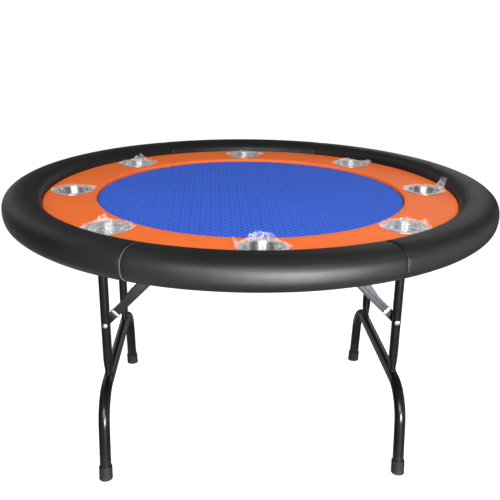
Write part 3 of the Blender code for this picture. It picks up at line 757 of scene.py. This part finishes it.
# A tuft is (degrees, spread, out, up, lean outwards); veil is how far film bulges over the mouth.
films = {
    1: {"seed": 11, "skirt": 0.006, "veil": 0.0,
        "tufts": [(14, 34, 0.002, 0.046, 0.30), (150, 30, 0.003, 0.004, 1)]},
    2: {"seed": 22, "skirt": 0.008, "veil": 0.2,
        "tufts": [(15, 26, 0.016, 0.010, 1.0), (100, 60, 0.004, 0.007, 0.4)]},
    3: {"seed": 33, "skirt": 0.007, "veil": 0.2,
        "tufts": [(0, 35, 0.014, 0.006, 1.2), (170, 30, 0.006, 0.005, 1)]},
    4: {"seed": 44, "skirt": 0.008, "veil": 0.5,
        "tufts": [(90, 40, 0.0, 0.024, 0.0), (200, 40, 0.012, 0.006, 1), (-20, 35, 0.010, 0.005, 1)]},
    5: {"seed": 55, "skirt": 0.006, "veil": 0.0,
        "tufts": [(20, 38, 0.010, 0.007, 0.8), (180, 24, 0.005, 0.003, 1)]},
    6: {"seed": 66, "skirt": 0.009, "veil": 0.9,
        "tufts": [(110, 34, 0.006, 0.016, 0.4), (195, 30, 0.016, 0.004, 1), (0, 30, 0.010, 0.006, 1)]},
    7: {"seed": 77, "skirt": 0.007, "veil": 0.0,
        "tufts": [(88, 66, 0.004, 0.024, 0.25), (172, 30, 0.008, 0.022, 0.3), (5, 24, 0.012, 0.004, 1)]},
    8: {"seed": 88, "skirt": 0.008, "veil": 0.7,
        "tufts": [(75, 36, 0.002, 0.010, 0.2), (25, 24, 0.006, 0.012, 0.6), (175, 28, 0.012, 0.006, 1)]},
}


def filmMesh(number, spec):
    seed, across = spec["seed"], 132
    rings = []
    # from inside the lip, over the flange, down to the racetrack and out
    for k in range(15):
        ring = []
        for j in range(across):
            a = 2 * pi * j / across
            ragged = 0.5 + 0.5 * noise.noise(Vector((cos(a) * 3, sin(a) * 3, seed)))
            reach = cup["flange"] + 0.002 + spec["skirt"] * ragged
            share = k / 14
            if share < 0.3:
                r, z, loose = 0.0415 + 0.0035 * share / 0.3, 0.0022 - 0.006 * (0.3 - share), 0.0006
            elif share < 0.62:
                r = 0.045 + (cup["flange"] + 0.0006 - 0.045) * (share - 0.3) / 0.32
                z, loose = 0.0025, 0.0009
            else:
                out = (share - 0.62) / 0.38
                r = cup["flange"] + 0.0006 + (reach - cup["flange"]) * out
                z, loose = 0.0024 - 0.0012 * out + 0.002 * ragged * out * out, 0.0012 + 0.0020 * out
            point = Vector(polar(r, a, z))
            push = crumpled(point, seed, 0.013) * loose * 2.0
            point += Vector((push.x * 0.6, push.y * 0.6, abs(push.z) + 0.0002))
            ring.append(point)
        rings.append(ring)
    shapes = [loft(rings, caps=False)]
    for n, (way, spread, out, up, lean) in enumerate(spec["tufts"]):
        for layer in range(2):
            fan = []
            for k in range(13):
                share = k / 12
                row = []
                for j in range(25):
                    u = j / 12 - 1
                    a = radians(way + spread * u * (1 - 0.35 * share))
                    ragged = noise.noise(Vector((u * 2.4, seed + n, layer)))
                    crown = (1 - abs(u) ** 2.2) * (0.72 + 0.5 * ragged)
                    r = cup["flange"] - 0.002 + 0.003 * layer + (out + lean * up * 0.7) * share * crown
                    z = 0.0022 + up * share * crown * (1 - 0.15 * layer)
                    point = Vector(polar(r, a, z))
                    push = crumpled(point, seed + 7 * n + 3 * layer, 0.012) * (0.0012 + 0.0052 * share)
                    push.z *= 0.6
                    row.append(point + push)
                fan.append(row)
            shapes.append(loft(fan, closed=False, caps=False))
    if spec["veil"]:
        # film over the mouth, slack in the middle
        veil = []
        for k in range(15):
            share = k / 14
            row = []
            for j in range(across):
                a = 2 * pi * j / across
                z = 0.0015 + 0.010 * spec["veil"] * (1 - share ** 2)
                point = Vector(polar(0.0445 * share, a, z))
                push = crumpled(point, seed + 50, 0.024) * 0.0055 * (0.3 + 0.7 * (1 - share ** 3))
                row.append(point + push)
            veil.append(row)
        shapes.append(loft(veil, caps=False))
    return meshOf(f"film{number}", *shapes, weld=1e-7)


for number, spec in films.items():
    spot = cupSpots[number - 1]
    piece(f"cupFilm.{number}", filmMesh(number, spec), clearFilm, "table", sharp=16,
          location=(spot.x, spot.y, cupSeat))
print("films made")


frameTube = {"radius": 0.015, "bar": 0.2225, "bend": 0.095, "start": 0.205, "splay": 8.4, "end": 0.010,
             "round": 28, "steps": 22}
upperTube = {"radius": 0.0125, "wall": 0.0012, "y": 0.180, "round": 28, "taper": 0.046}


def circlePoints(centre, first, second, radius, count, flat=1.0):
    return [centre + (first * cos(b) * flat + second * sin(b)) * radius
            for b in (2 * pi * k / count for k in range(count))]


def legPath():
    bendZ = frameTube["bar"] - frameTube["bend"]
    half = arc((frameTube["start"], bendZ), frameTube["bend"], 90, frameTube["splay"], frameTube["steps"])
    y, z = half[-1]
    lean = tan(radians(frameTube["splay"]))
    for share in (0.35, 0.7, 1.0):
        drop = (z - frameTube["end"]) * share
        half.append((y + drop * lean, z - drop))
    straight = [(frameTube["start"] * k / 4, frameTube["bar"]) for k in range(1, 4)]
    half = straight + half
    return [(-y, z) for y, z in reversed(half)] + [(0, frameTube["bar"])] + half


def makeLowerFrame(side, x):
    path = [Vector((x, y, z)) for y, z in legPath()]
    rings = []
    for i, here in enumerate(path):
        along = (path[min(i + 1, len(path) - 1)] - path[max(i - 1, 0)]).normalized()
        sideways = Vector((1, 0, 0))
        # the bends are pressed a little flat, as a tube bender leaves them
        bent = abs(here.y) > frameTube["start"] and here.z > frameTube["bar"] - frameTube["bend"] + 0.01
        flat = 0.965 if bent else 1.0
        rings.append(circlePoints(here, sideways.cross(along), sideways, frameTube["radius"],
                                  frameTube["round"], flat))
    name = side + "LowerFrame"
    piece(name, meshOf(name, loft(rings)), legBlack, side + "_leg", side + "_lower_frame", sharp=50)


def saddle(x):
    return frameTube["bar"] + sqrt(frameTube["radius"] ** 2 - x ** 2)


def makeUpperTube(side, row, x, top):
    y = rows[row] * upperTube["y"]
    count, radius = upperTube["round"], upperTube["radius"]
    rings = []
    low = saddle(0)
    levels = [0, 0.004, 0.010, 0.018, 0.028, 0.038, upperTube["taper"], 0.08, 0.16, 0.24, 0.32]
    levels = [z for z in levels if low + z < top - 0.02] + [top - low - 0.0006, top - low]
    for level in levels:
        # pinched in X towards the crossbar, and fuller in Y there
        share = max(0.0, 1 - level / upperTube["taper"])
        share = share * share * (3 - 2 * share)
        wide, deep = radius * (1 - 0.24 * share), radius * (1 + 0.10 * share)
        size = 0.96 if level == levels[-1] else 1.0
        ring = []
        for k in range(count):
            b = 2 * pi * k / count
            px, py = wide * size * cos(b), deep * size * sin(b)
            z = saddle(px) - 0.0008 if level == 0 else max(low + level, saddle(px) + 0.0006)
            ring.append((x + px, y + py, z))
        rings.append(ring)
    inner = radius - upperTube["wall"]
    for depth in (0, 0.02):
        centre = Vector((x, y, top - depth))
        rings.append(circlePoints(centre, Vector((1, 0, 0)), Vector((0, 1, 0)), inner, count))
    name = f"{side}{row.title()}UpperTube"
    stands = f"{side}_{row}_upper_tube"
    piece(name, meshOf(name, loft(rings)), legBlack, side + "_leg", stands, sharp=40)

    # the weld round its foot
    bead = []
    for k in range(56):
        b = 2 * pi * k / 56
        px, py = radius * 0.79 * cos(b), radius * 1.13 * sin(b)
        thick = 0.0017 * (1 + 0.22 * sin(b * 19) + 0.2 * wobble((px, py, y), 400))
        centre = Vector((x + px, y + py, saddle(px) + 0.0004))
        bead.append(circlePoints(centre, Vector(polar(1, b)), Vector((0, 0, 1)), thick, 8))
    piece(f"{side}{row.title()}Weld", meshOf("weld", loft(bead, loop=True)), legBlack, side + "_leg")


foot = {"inner": 0.0153, "outer": 0.0178, "height": 0.035, "sole": 0.009, "groove": 0.0008, "buried": -0.006}


def makeFoot(side, row, x):
    lean = radians(frameTube["splay"])
    outer, tall = foot["outer"], foot["height"]
    profile = [(0, foot["sole"]), (foot["inner"], foot["sole"]), (foot["inner"], tall - 0.0008),
               (foot["inner"] + 0.0008, tall), (outer - 0.0016, tall), (outer - 0.0004, tall - 0.0006),
               (outer, tall - 0.002)]
    for k in range(3):
        # shallow grip rings
        z = tall - 0.007 - 0.006 * k
        bottom = outer - foot["groove"]
        profile += [(outer, z + 0.0012), (bottom, z + 0.0006), (bottom, z - 0.0006), (outer, z - 0.0012)]
    under, swell = foot["buried"], outer + 0.0003
    profile += [(outer, 0.007), (swell, 0.0045), (swell, under), (0, under)]
    points, faces = lathe(profile, 40)
    y, z = legPath()[-1]
    footY = y + z * tan(lean)
    turn = Matrix.Translation((x, rows[row] * footY, 0)) @ Matrix.Rotation(rows[row] * lean, 4, "X")
    moved = []
    for p in points:
        q = turn @ Vector(p)
        moved.append((q.x, q.y, max(q.z, 0.0004 * (hypot(p[0], p[1]) > outer))))
    name = f"{side}{row.title()}Foot"
    piece(name, meshOf(name, (moved, faces)), footRubber, side + "_leg", f"{side}_{row}_foot", sharp=40)


def turnedY(profile, x, y, z, row, turns=32):
    # A turned shape with its +Z facing out to the front or the rear.
    spin = Matrix.Translation((x, y, z)) @ Matrix.Rotation(-rows[row] * pi / 2, 4, "X")
    points, faces = lathe(profile, turns)
    return [tuple(spin @ Vector(p)) for p in points], faces


def headProfile(radius, height, shaft, under, end):
    # A domed head on a shaft, from the crown down the outside.
    dome = [(radius * sin(radians(a)), under + 0.0008 + (height - 0.0008) * cos(radians(a)))
            for a in range(0, 91, 15)]
    return dome + [(radius, under), (shaft, under), (shaft, end + 0.0006), (shaft - 0.0006, end), (0, end)]


bolt = {"head": 0.0056, "shaft": 0.004, "washer": 0.0070, "washerHole": 0.0045, "washerThick": 0.0012,
        "peened": 0.0058}


def makeBolt(side, row, x):
    low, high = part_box(f"{side}_{row}_brace_bolt")
    z = (low.z + high.z) / 2
    out, into = max(abs(low.y), abs(high.y)), min(abs(low.y), abs(high.y))
    face = upperTube["y"] + upperTube["radius"]
    wide, hole, seat = bolt["washer"], bolt["washerHole"], face + bolt["washerThick"]
    washer = [(hole, seat), (wide - 0.0004, seat - 0.0001), (wide, face + 0.0006), (wide, face + 0.0001),
              (hole, face + 0.0001)]
    head = headProfile(bolt["head"], out - seat, bolt["shaft"], seat, into)
    shapes = [turnedY(head, x, 0, z, row), turnedY(washer, x, 0, z, row)]
    # the peened end inside the lower link
    end = [(0, into - 0.0002), (bolt["peened"] - 0.0008, into + 0.0001), (bolt["peened"], into + 0.0007),
           (bolt["peened"], into + 0.0013), (bolt["shaft"], into + 0.0014)]
    shapes.append(turnedY(end, x, 0, z, row))
    name = f"{side}{row.title()}BraceBolt"
    piece(name, meshOf(name, *shapes), brightZinc, side + "_leg", f"{side}_{row}_brace_bolt", sharp=35)


rod = {"radius": 0.005, "chamfer": 0.0012, "cap": 0.0078, "capLong": 0.0040}


def makeRod(side, x):
    low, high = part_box(side + "_pivot_rod")
    z, half, r, chamfer = (low.z + high.z) / 2, high.y, rod["radius"], rod["chamfer"]
    profile = [(0, half), (r - chamfer, half), (r, half - chamfer)]
    profile += [(reach, -y) for reach, y in reversed(profile)]
    shapes = [turnedY(profile, x, 0, z, "rear")]
    # a push-on cap outside each bracket
    cap = [(0, half + 0.0002), (0.0045, half + 0.0002), (0.0066, half - 0.0012), (rod["cap"], half - 0.0034),
           (rod["cap"], half - rod["capLong"]), (r, half - rod["capLong"])]
    for row in rows:
        shapes.append(turnedY(cap, x, 0, z, row))
    name = side + "PivotRod"
    piece(name, meshOf(name, *shapes), brightZinc, side + "_leg", side + "_pivot_rod")


link = {"width": 0.024, "thick": 0.003, "flare": 0.006, "flareFrom": 0.075, "flareTo": 0.116, "pin": 0.0043}
ring = {"from": 0.030, "wide": 0.008, "sheet": 0.0012, "play": 0.0003, "corner": 0.0019, "inside": 0.0008}
lug = {"tip": 0.0262, "half": 0.010, "thick": 0.0012, "play": 0.0003, "boss": 0.0090}
rivet = {"dome": 0.0070, "shaft": 0.0040, "end": 0.0060}


def linkOutline(length):
    half = link["width"] / 2
    outline = arc((0, 0), half, 90, 270, 20)
    outline += arc((length, link["flare"] / 2), half + link["flare"] / 2, -90, 90, 24)
    shoulder = []
    for k in range(9):
        # a smooth shoulder up to the wider end
        share = k / 8
        ease = share * share * (3 - 2 * share)
        x = link["flareTo"] + (link["flareFrom"] - link["flareTo"]) * share
        shoulder.append((x, half + link["flare"] * (1 - ease)))
    return outline + shoulder


def pinHole(x):
    return arc((x, 0), link["pin"], 0, 345, 23)


def makeBrace(side, row):
    sx, prefix, label = sides[side], f"{side}_{row}_", f"{side}{row.title()}"
    foot, pivot = middle(prefix + "brace_bolt"), middle(side + "_pivot_rod")
    pinX = foot.x - sx * (pivot.z - foot.z)
    along, across = Vector((-sx, 0, 1)).normalized(), Vector((sx, 0, 1)).normalized()
    length = (pivot.z - foot.z) / sqrt(2)
    # the right braces get the lighter grey copy of the brace paint, painted light; the left get the black
    finish = braceGrey if side == "right" else braceBlack
    plate = plateMesh("link", [linkOutline(length), pinHole(0), pinHole(length)], link["thick"], 0.0005)
    for kind, origin, way in (("lower", foot, along), ("upper", Vector((pinX, 0, pivot.z)), -along)):
        y = middle(prefix + kind + "_link").y
        place = axes(Vector((origin.x, y, origin.z)), way, across, way.cross(across))
        mesh = meshOf(label + kind, shapeOf(plate, place))
        piece(f"{label}{kind.title()}Link", mesh, finish, f"{prefix}{kind}_brace", f"{prefix}{kind}_link",
              sharp=35)

    # the lock ring, a band bent round the link and the lug
    low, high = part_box(prefix + "lock_ring")
    tall, half = (high.y - low.y) / 2, link["width"] / 2 + ring["play"] + ring["sheet"]
    corners = [(x, y, ring["corner"]) for x, y in rectangle(tall, half)]
    inner = [(x * (1 - ring["sheet"] / tall), y * (1 - ring["sheet"] / half), ring["inside"])
             for x, y, _ in corners]
    band = plateMesh("band", [rounded(corners), rounded(inner)], ring["wide"], 0.0003)
    centre = Vector((foot.x, (low.y + high.y) / 2, foot.z)) + along * (ring["from"] + ring["wide"] / 2)
    outward = Vector((0, 1, 0))
    place = axes(centre, outward, across, outward.cross(across))
    mesh = meshOf(label + "LockRing", shapeOf(band, place))
    piece(label + "LockRing", mesh, brightZinc, prefix + "ring", prefix + "lock_ring", sharp=35)

    # the lug on the leg that the ring drops over, with its boss
    linkLow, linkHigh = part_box(prefix + "lower_link")
    faceY = max(abs(linkLow.y), abs(linkHigh.y)) + lug["play"]
    tip, half, thick = lug["tip"], lug["half"], lug["thick"]
    outline = rounded([(tip, -half, 0.0015), (tip, half, 0.0015), (-0.004, half, 0.004),
                       (-0.010, 0.004, 0.003), (-0.010, -0.004, 0.003), (-0.004, -half, 0.004)])
    plate = plateMesh("lug", [outline], thick, 0.0003)
    spot = Vector((foot.x, rows[row] * (faceY + thick / 2), foot.z))
    place = axes(spot, along, across, along.cross(across))
    bossEnd = upperTube["y"] - 0.0110
    boss = turnedY([(link["pin"] - 0.0001, faceY + thick), (lug["boss"], faceY + thick),
                    (lug["boss"] - 0.0004, bossEnd), (link["pin"] - 0.0001, bossEnd)], foot.x, 0, foot.z, row)
    mesh = meshOf(label + "LockLug", shapeOf(plate, place), boss)
    piece(label + "LockLug", mesh, legBlack, side + "_leg", sharp=35)

    # the elbow's rivet
    low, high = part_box(prefix + "elbow_rivet")
    inY, outY = min(abs(low.y), abs(high.y)), max(abs(low.y), abs(high.y))
    spot = foot + along * length
    linkLow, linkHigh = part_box(prefix + "upper_link")
    upIn, upOut = min(abs(linkLow.y), abs(linkHigh.y)), max(abs(linkLow.y), abs(linkHigh.y))
    wide, shaft, end = rivet["dome"], rivet["shaft"], rivet["end"]
    profile = [(0, inY)]
    for a in range(15, 91, 15):
        profile.append((wide * sin(radians(a)), upIn - (upIn - inY) * cos(radians(a))))
    profile += [(wide, upIn - 0.0001), (shaft, upIn - 0.0001), (shaft, upOut + 0.0001),
                (end - 0.0004, upOut + 0.0001), (end, upOut + 0.0005), (end, outY - 0.0004),
                (end - 0.0004, outY), (0, outY)]
    mesh = meshOf(label + "ElbowRivet", turnedY(profile, spot.x, 0, spot.z, row))
    piece(label + "ElbowRivet", mesh, brightZinc, prefix + "upper_brace", prefix + "elbow_rivet", sharp=35)
    return pinX, pivot.z


bracket = {"long": 0.036, "ear": 0.003, "plate": 0.002, "round": 0.010, "screw": 0.009, "play": 0.0003}
screw = {"head": 0.0040, "shaft": 0.0021, "crossHalf": 0.0023, "slotHalf": 0.0004}
pin = {"radius": 0.0040, "head": 0.0064}


def screwMesh():
    # A pan-head screw, head downwards, with a cross recess.
    wide, shaft = screw["head"], screw["shaft"]
    profile = [(0, -0.0024), (0.0018, -0.0023), (0.0032, -0.0018), (0.0039, -0.0009), (wide, -0.0002),
               (wide, 0), (shaft, 0.0001), (shaft, 0.004), (0, 0.005)]
    head = meshOf("screwHead", lathe(profile, 28))
    for turn in (0, pi / 2):
        spin = Matrix.Rotation(turn, 4, "Z")
        quad = [spin @ Vector((x, y, 0)) for x, y in rectangle(screw["crossHalf"], screw["slotHalf"])]
        slot = loft([[(p.x * s, p.y * s, z) for p in quad] for s, z in ((1.05, -0.003), (0.7, -0.0010))])
        head = cutMesh(head, meshOf("slot", slot))
    return head


def linkY(node):
    # How far out the upper link of this brace bracket is.
    return abs(middle(node.replace("brace_bracket", "upper_link")).y)


def bracketShapes(node, x, inwards):
    # An ear across Y and a plate under the board, joined by a rounded bend.
    low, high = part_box(node)
    long, top = bracket["long"] / 2, high.z
    sign = 1 if low.y > 0 else -1
    near, far = sorted((abs(low.y), abs(high.y)))
    earY = near + bracket["ear"] / 2
    if inwards:
        earY = linkY(node) - link["thick"] / 2 - bracket["play"] - bracket["ear"] / 2
    outline = rounded([(-long, low.z, bracket["round"]), (long, low.z, bracket["round"]),
                       (long, top - 0.0005, 0), (-long, top - 0.0005, 0)])
    ear = plateMesh("ear", [outline], bracket["ear"], 0.0004)
    place = axes(Vector((x, sign * earY, 0)), Vector((1, 0, 0)), Vector((0, 0, 1)), Vector((0, -1, 0)))
    shapes = [shapeOf(ear, place)]
    edge = near if inwards else far
    width = abs(edge - earY) + bracket["ear"] / 2
    outline = rounded([(-long, 0, 0), (long, 0, 0), (long, width, 0.006), (-long, width, 0.006)])
    flat = plateMesh("flat", [outline], bracket["plate"], 0.0004)
    way = -1 if inwards else 1
    start = earY - way * bracket["ear"] / 2
    corner = Vector((x, sign * start, top - bracket["plate"] / 2))
    place = axes(corner, Vector((1, 0, 0)), Vector((0, sign * way, 0)), Vector((0, 0, sign * way)))
    shapes.append(shapeOf(flat, place))
    # the bend's inner fillet
    fillet = [(0, 0), (0.003, 0), (0.0012, -0.0012), (0, -0.003)]
    base = earY + way * bracket["ear"] / 2
    shapes.append(loft([[(x + end, sign * (base + way * (u - 0.0004)), top - bracket["plate"] + w + 0.0003)
                         for u, w in fillet] for end in (-long + 0.0008, long - 0.0008)]))
    screwY = sign * (earY - way * bracket["ear"] / 2 + way * (bracket["ear"] + width) / 2)
    return shapes, screwY, top - bracket["plate"]


sharedScrew = screwMesh()


def makeBrackets(side, row, x, pinX, pinZ):
    label = f"{side}{row.title()}"
    for kind, spotX, inwards in (("pivot", x, False), ("brace", pinX, True)):
        node = f"{side}_{row}_{kind}_bracket"
        shapes, screwY, plateZ = bracketShapes(node, spotX, inwards)
        if inwards:
            outer = linkY(node) + link["thick"] / 2 + bracket["play"]
            inner = linkY(node) - link["thick"] / 2 - bracket["play"] - bracket["ear"]
            r, head = pin["radius"], pin["head"]
            profile = [(0, outer + 0.0001), (r - 0.0006, outer + 0.0001), (r, outer - 0.0006), (r, inner),
                       (head, inner - 0.0002), (head - 0.0006, inner - 0.0014), (0.0035, inner - 0.0020),
                       (0, inner - 0.0021)]
            mesh = meshOf("bracePin", turnedY(profile, spotX, 0, pinZ, row))
            piece(label + "BracePin", mesh, brightZinc, "table", sharp=35)
        mesh = meshOf(kind + "Bracket", *shapes)
        piece(f"{label}{kind.title()}Bracket", mesh, bracketBlack, "table", node, sharp=35)
        for end in (-1, 1):
            piece(f"{label}{kind.title()}Screw.{'ab'[end > 0]}", sharedScrew, brightZinc, "table", sharp=30,
                  location=(spotX + end * bracket["screw"], screwY, plateZ))


for side in sides:
    rodSpot = middle(side + "_pivot_rod")
    makeLowerFrame(side, rodSpot.x)
    makeRod(side, rodSpot.x)
    for row in rows:
        makeUpperTube(side, row, rodSpot.x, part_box(f"{side}_{row}_upper_tube")[1].z)
        makeFoot(side, row, rodSpot.x)
        makeBolt(side, row, rodSpot.x)
        pinX, pinZ = makeBrace(side, row)
        makeBrackets(side, row, rodSpot.x, pinX, pinZ)
    print(side, "leg set made")


studio = {"floor": 9.0, "surroundings": 0.36, "windows": 0.85, "backdrop": 1.05,
          # how bright the surroundings are from left to right
          "panes": ((0.10, 0.1), (0.22, 0.7), (0.30, 0.7), (0.36, 0.06), (0.41, 0.05), (0.445, 0.30),
                    (0.475, 0.30), (0.50, 0.03), (0.56, 0.03), (0.60, 0.05), (0.66, 0.45), (0.72, 0.45),
                    (0.78, 0.05), (0.92, 0.2)),
          # name: place, target, width, height, watts, whether glossy surfaces show it, colour
          "lights": {
              "key": ((0.2, -1.6, 2.6), (0, 0, 0.7), 2.0, 1.6, 38, False, (1, 1, 1)),
              "frontLow": ((0.95, -3.6, 0.42), (0.1, -0.6, 0.55), 1.5, 0.8, 320, True, (0.95, 0.93, 1.0)),
              "windowLeft": ((-1.0, -3.6, 2.1), (0, 0, 0.7), 0.4, 1.4, 60, True, (1, 1, 1)),
              "windowRight": ((0.45, -3.8, 2.3), (0, 0, 0.7), 0.4, 1.4, 60, True, (1, 1, 1)),
              "backRight": ((1.6, 3.8, 1.6), (0, 0, 0.7), 1.6, 1.0, 4, True, (1, 1, 1)),
          }}


def makeStudio():
    half = studio["floor"]
    corners = [(x, y, 0) for x, y in rectangle(half, half)]
    mesh = meshOf("floor", (corners, [(0, 1, 2, 3)]))
    floor = bpy.data.objects.new("floor", mesh)
    bpy.context.scene.collection.objects.link(floor)
    paper = Finish("floorPaper", Roughness=0.9, SpecularIorLevel=0.1, EmissionColor=(1, 1, 1),
                   EmissionStrength=0.7)
    paper.plug("BaseColor", paper.between(paper.clouds(3, 2), (0.88, 0.88, 0.88), (0.92, 0.92, 0.92)))
    # it thins out to the plain backdrop away from the table
    x, y, _ = paper.parts()
    paper.plug("Alpha", ((2.9 - (x * x + y * y).power(0.5)) * 0.7).clamped())
    mesh.materials.append(paper.material)
    floor.location.z = -0.0004
    floor.visible_glossy = False

    world = bpy.data.worlds.new("studio")
    bpy.context.scene.world = world
    world.use_nodes = True
    world.cycles.sampling_method = "NONE"
    tree = world.node_tree
    tree.nodes.clear()
    output, ray = tree.nodes.new("ShaderNodeOutputWorld"), tree.nodes.new("ShaderNodeLightPath")
    # upright bright panes, and dark between, for whatever shines
    across, panes = tree.nodes.new("ShaderNodeSeparateXYZ"), tree.nodes.new("ShaderNodeValToRGB")
    tree.links.new(tree.nodes.new("ShaderNodeTexCoord").outputs["Generated"], across.inputs[0])
    for stop, glow in studio["panes"]:
        element = panes.color_ramp.elements.new(stop)
        element.color = (glow, glow, glow, 1)
    side = tree.nodes.new("ShaderNodeMath")
    side.operation = "MULTIPLY_ADD"
    side.inputs[1].default_value = side.inputs[2].default_value = 0.5
    tree.links.new(across.outputs[0], side.inputs[0])
    tree.links.new(side.outputs[0], panes.inputs[0])
    shade = None
    for strength, kind in ((studio["surroundings"], None), (studio["windows"], "Is Glossy Ray"),
                           (studio["backdrop"], "Is Camera Ray")):
        light = tree.nodes.new("ShaderNodeBackground")
        light.inputs["Color"].default_value = (1, 1, 1, 1)
        light.inputs["Strength"].default_value = strength
        if kind:
            mix = tree.nodes.new("ShaderNodeMixShader")
            tree.links.new(ray.outputs[kind], mix.inputs[0])
            tree.links.new(shade, mix.inputs[1])
            tree.links.new(light.outputs[0], mix.inputs[2])
            if kind == "Is Glossy Ray":
                tree.links.new(panes.outputs[0], light.inputs["Color"])
            light = mix
        shade = light.outputs[0]
    tree.links.new(shade, output.inputs[0])

    for name, (place, target, width, height, watts, shows, colour) in studio["lights"].items():
        data = bpy.data.lights.new(name, "AREA")
        data.shape, data.size, data.size_y = "RECTANGLE", width, height
        data.energy, data.color = watts, colour
        lamp = bpy.data.objects.new(name, data)
        bpy.context.scene.collection.objects.link(lamp)
        lamp.location, lamp.visible_glossy = place, shows
        lamp.rotation_euler = (Vector(target) - Vector(place)).to_track_quat("-Z", "Y").to_euler()


view = {"place": (-0.0992, -1.8823, 1.1893), "yaw": 3.02, "pitch": 19.305, "roll": 0.74, "lens": 49.98}


def makeCamera():
    yaw, pitch, roll = (radians(view[k]) for k in ("yaw", "pitch", "roll"))
    right = Vector((cos(yaw), -sin(yaw), 0))
    ahead = Vector((sin(yaw) * cos(pitch), cos(yaw) * cos(pitch), -sin(pitch)))
    up = right.cross(ahead)
    rolledRight = right * cos(roll) + up * sin(roll)
    rolledUp = up * cos(roll) - right * sin(roll)
    data = bpy.data.cameras.new("camera")
    data.lens, data.sensor_width = view["lens"], 36
    camera = bpy.data.objects.new("camera", data)
    bpy.context.scene.collection.objects.link(camera)
    camera.matrix_world = axes(view["place"], rolledRight, rolledUp, -ahead)
    bpy.context.scene.camera = camera


makeStudio()
makeCamera()
bpy.context.scene.view_settings.view_transform = "Standard"
print("studio made")
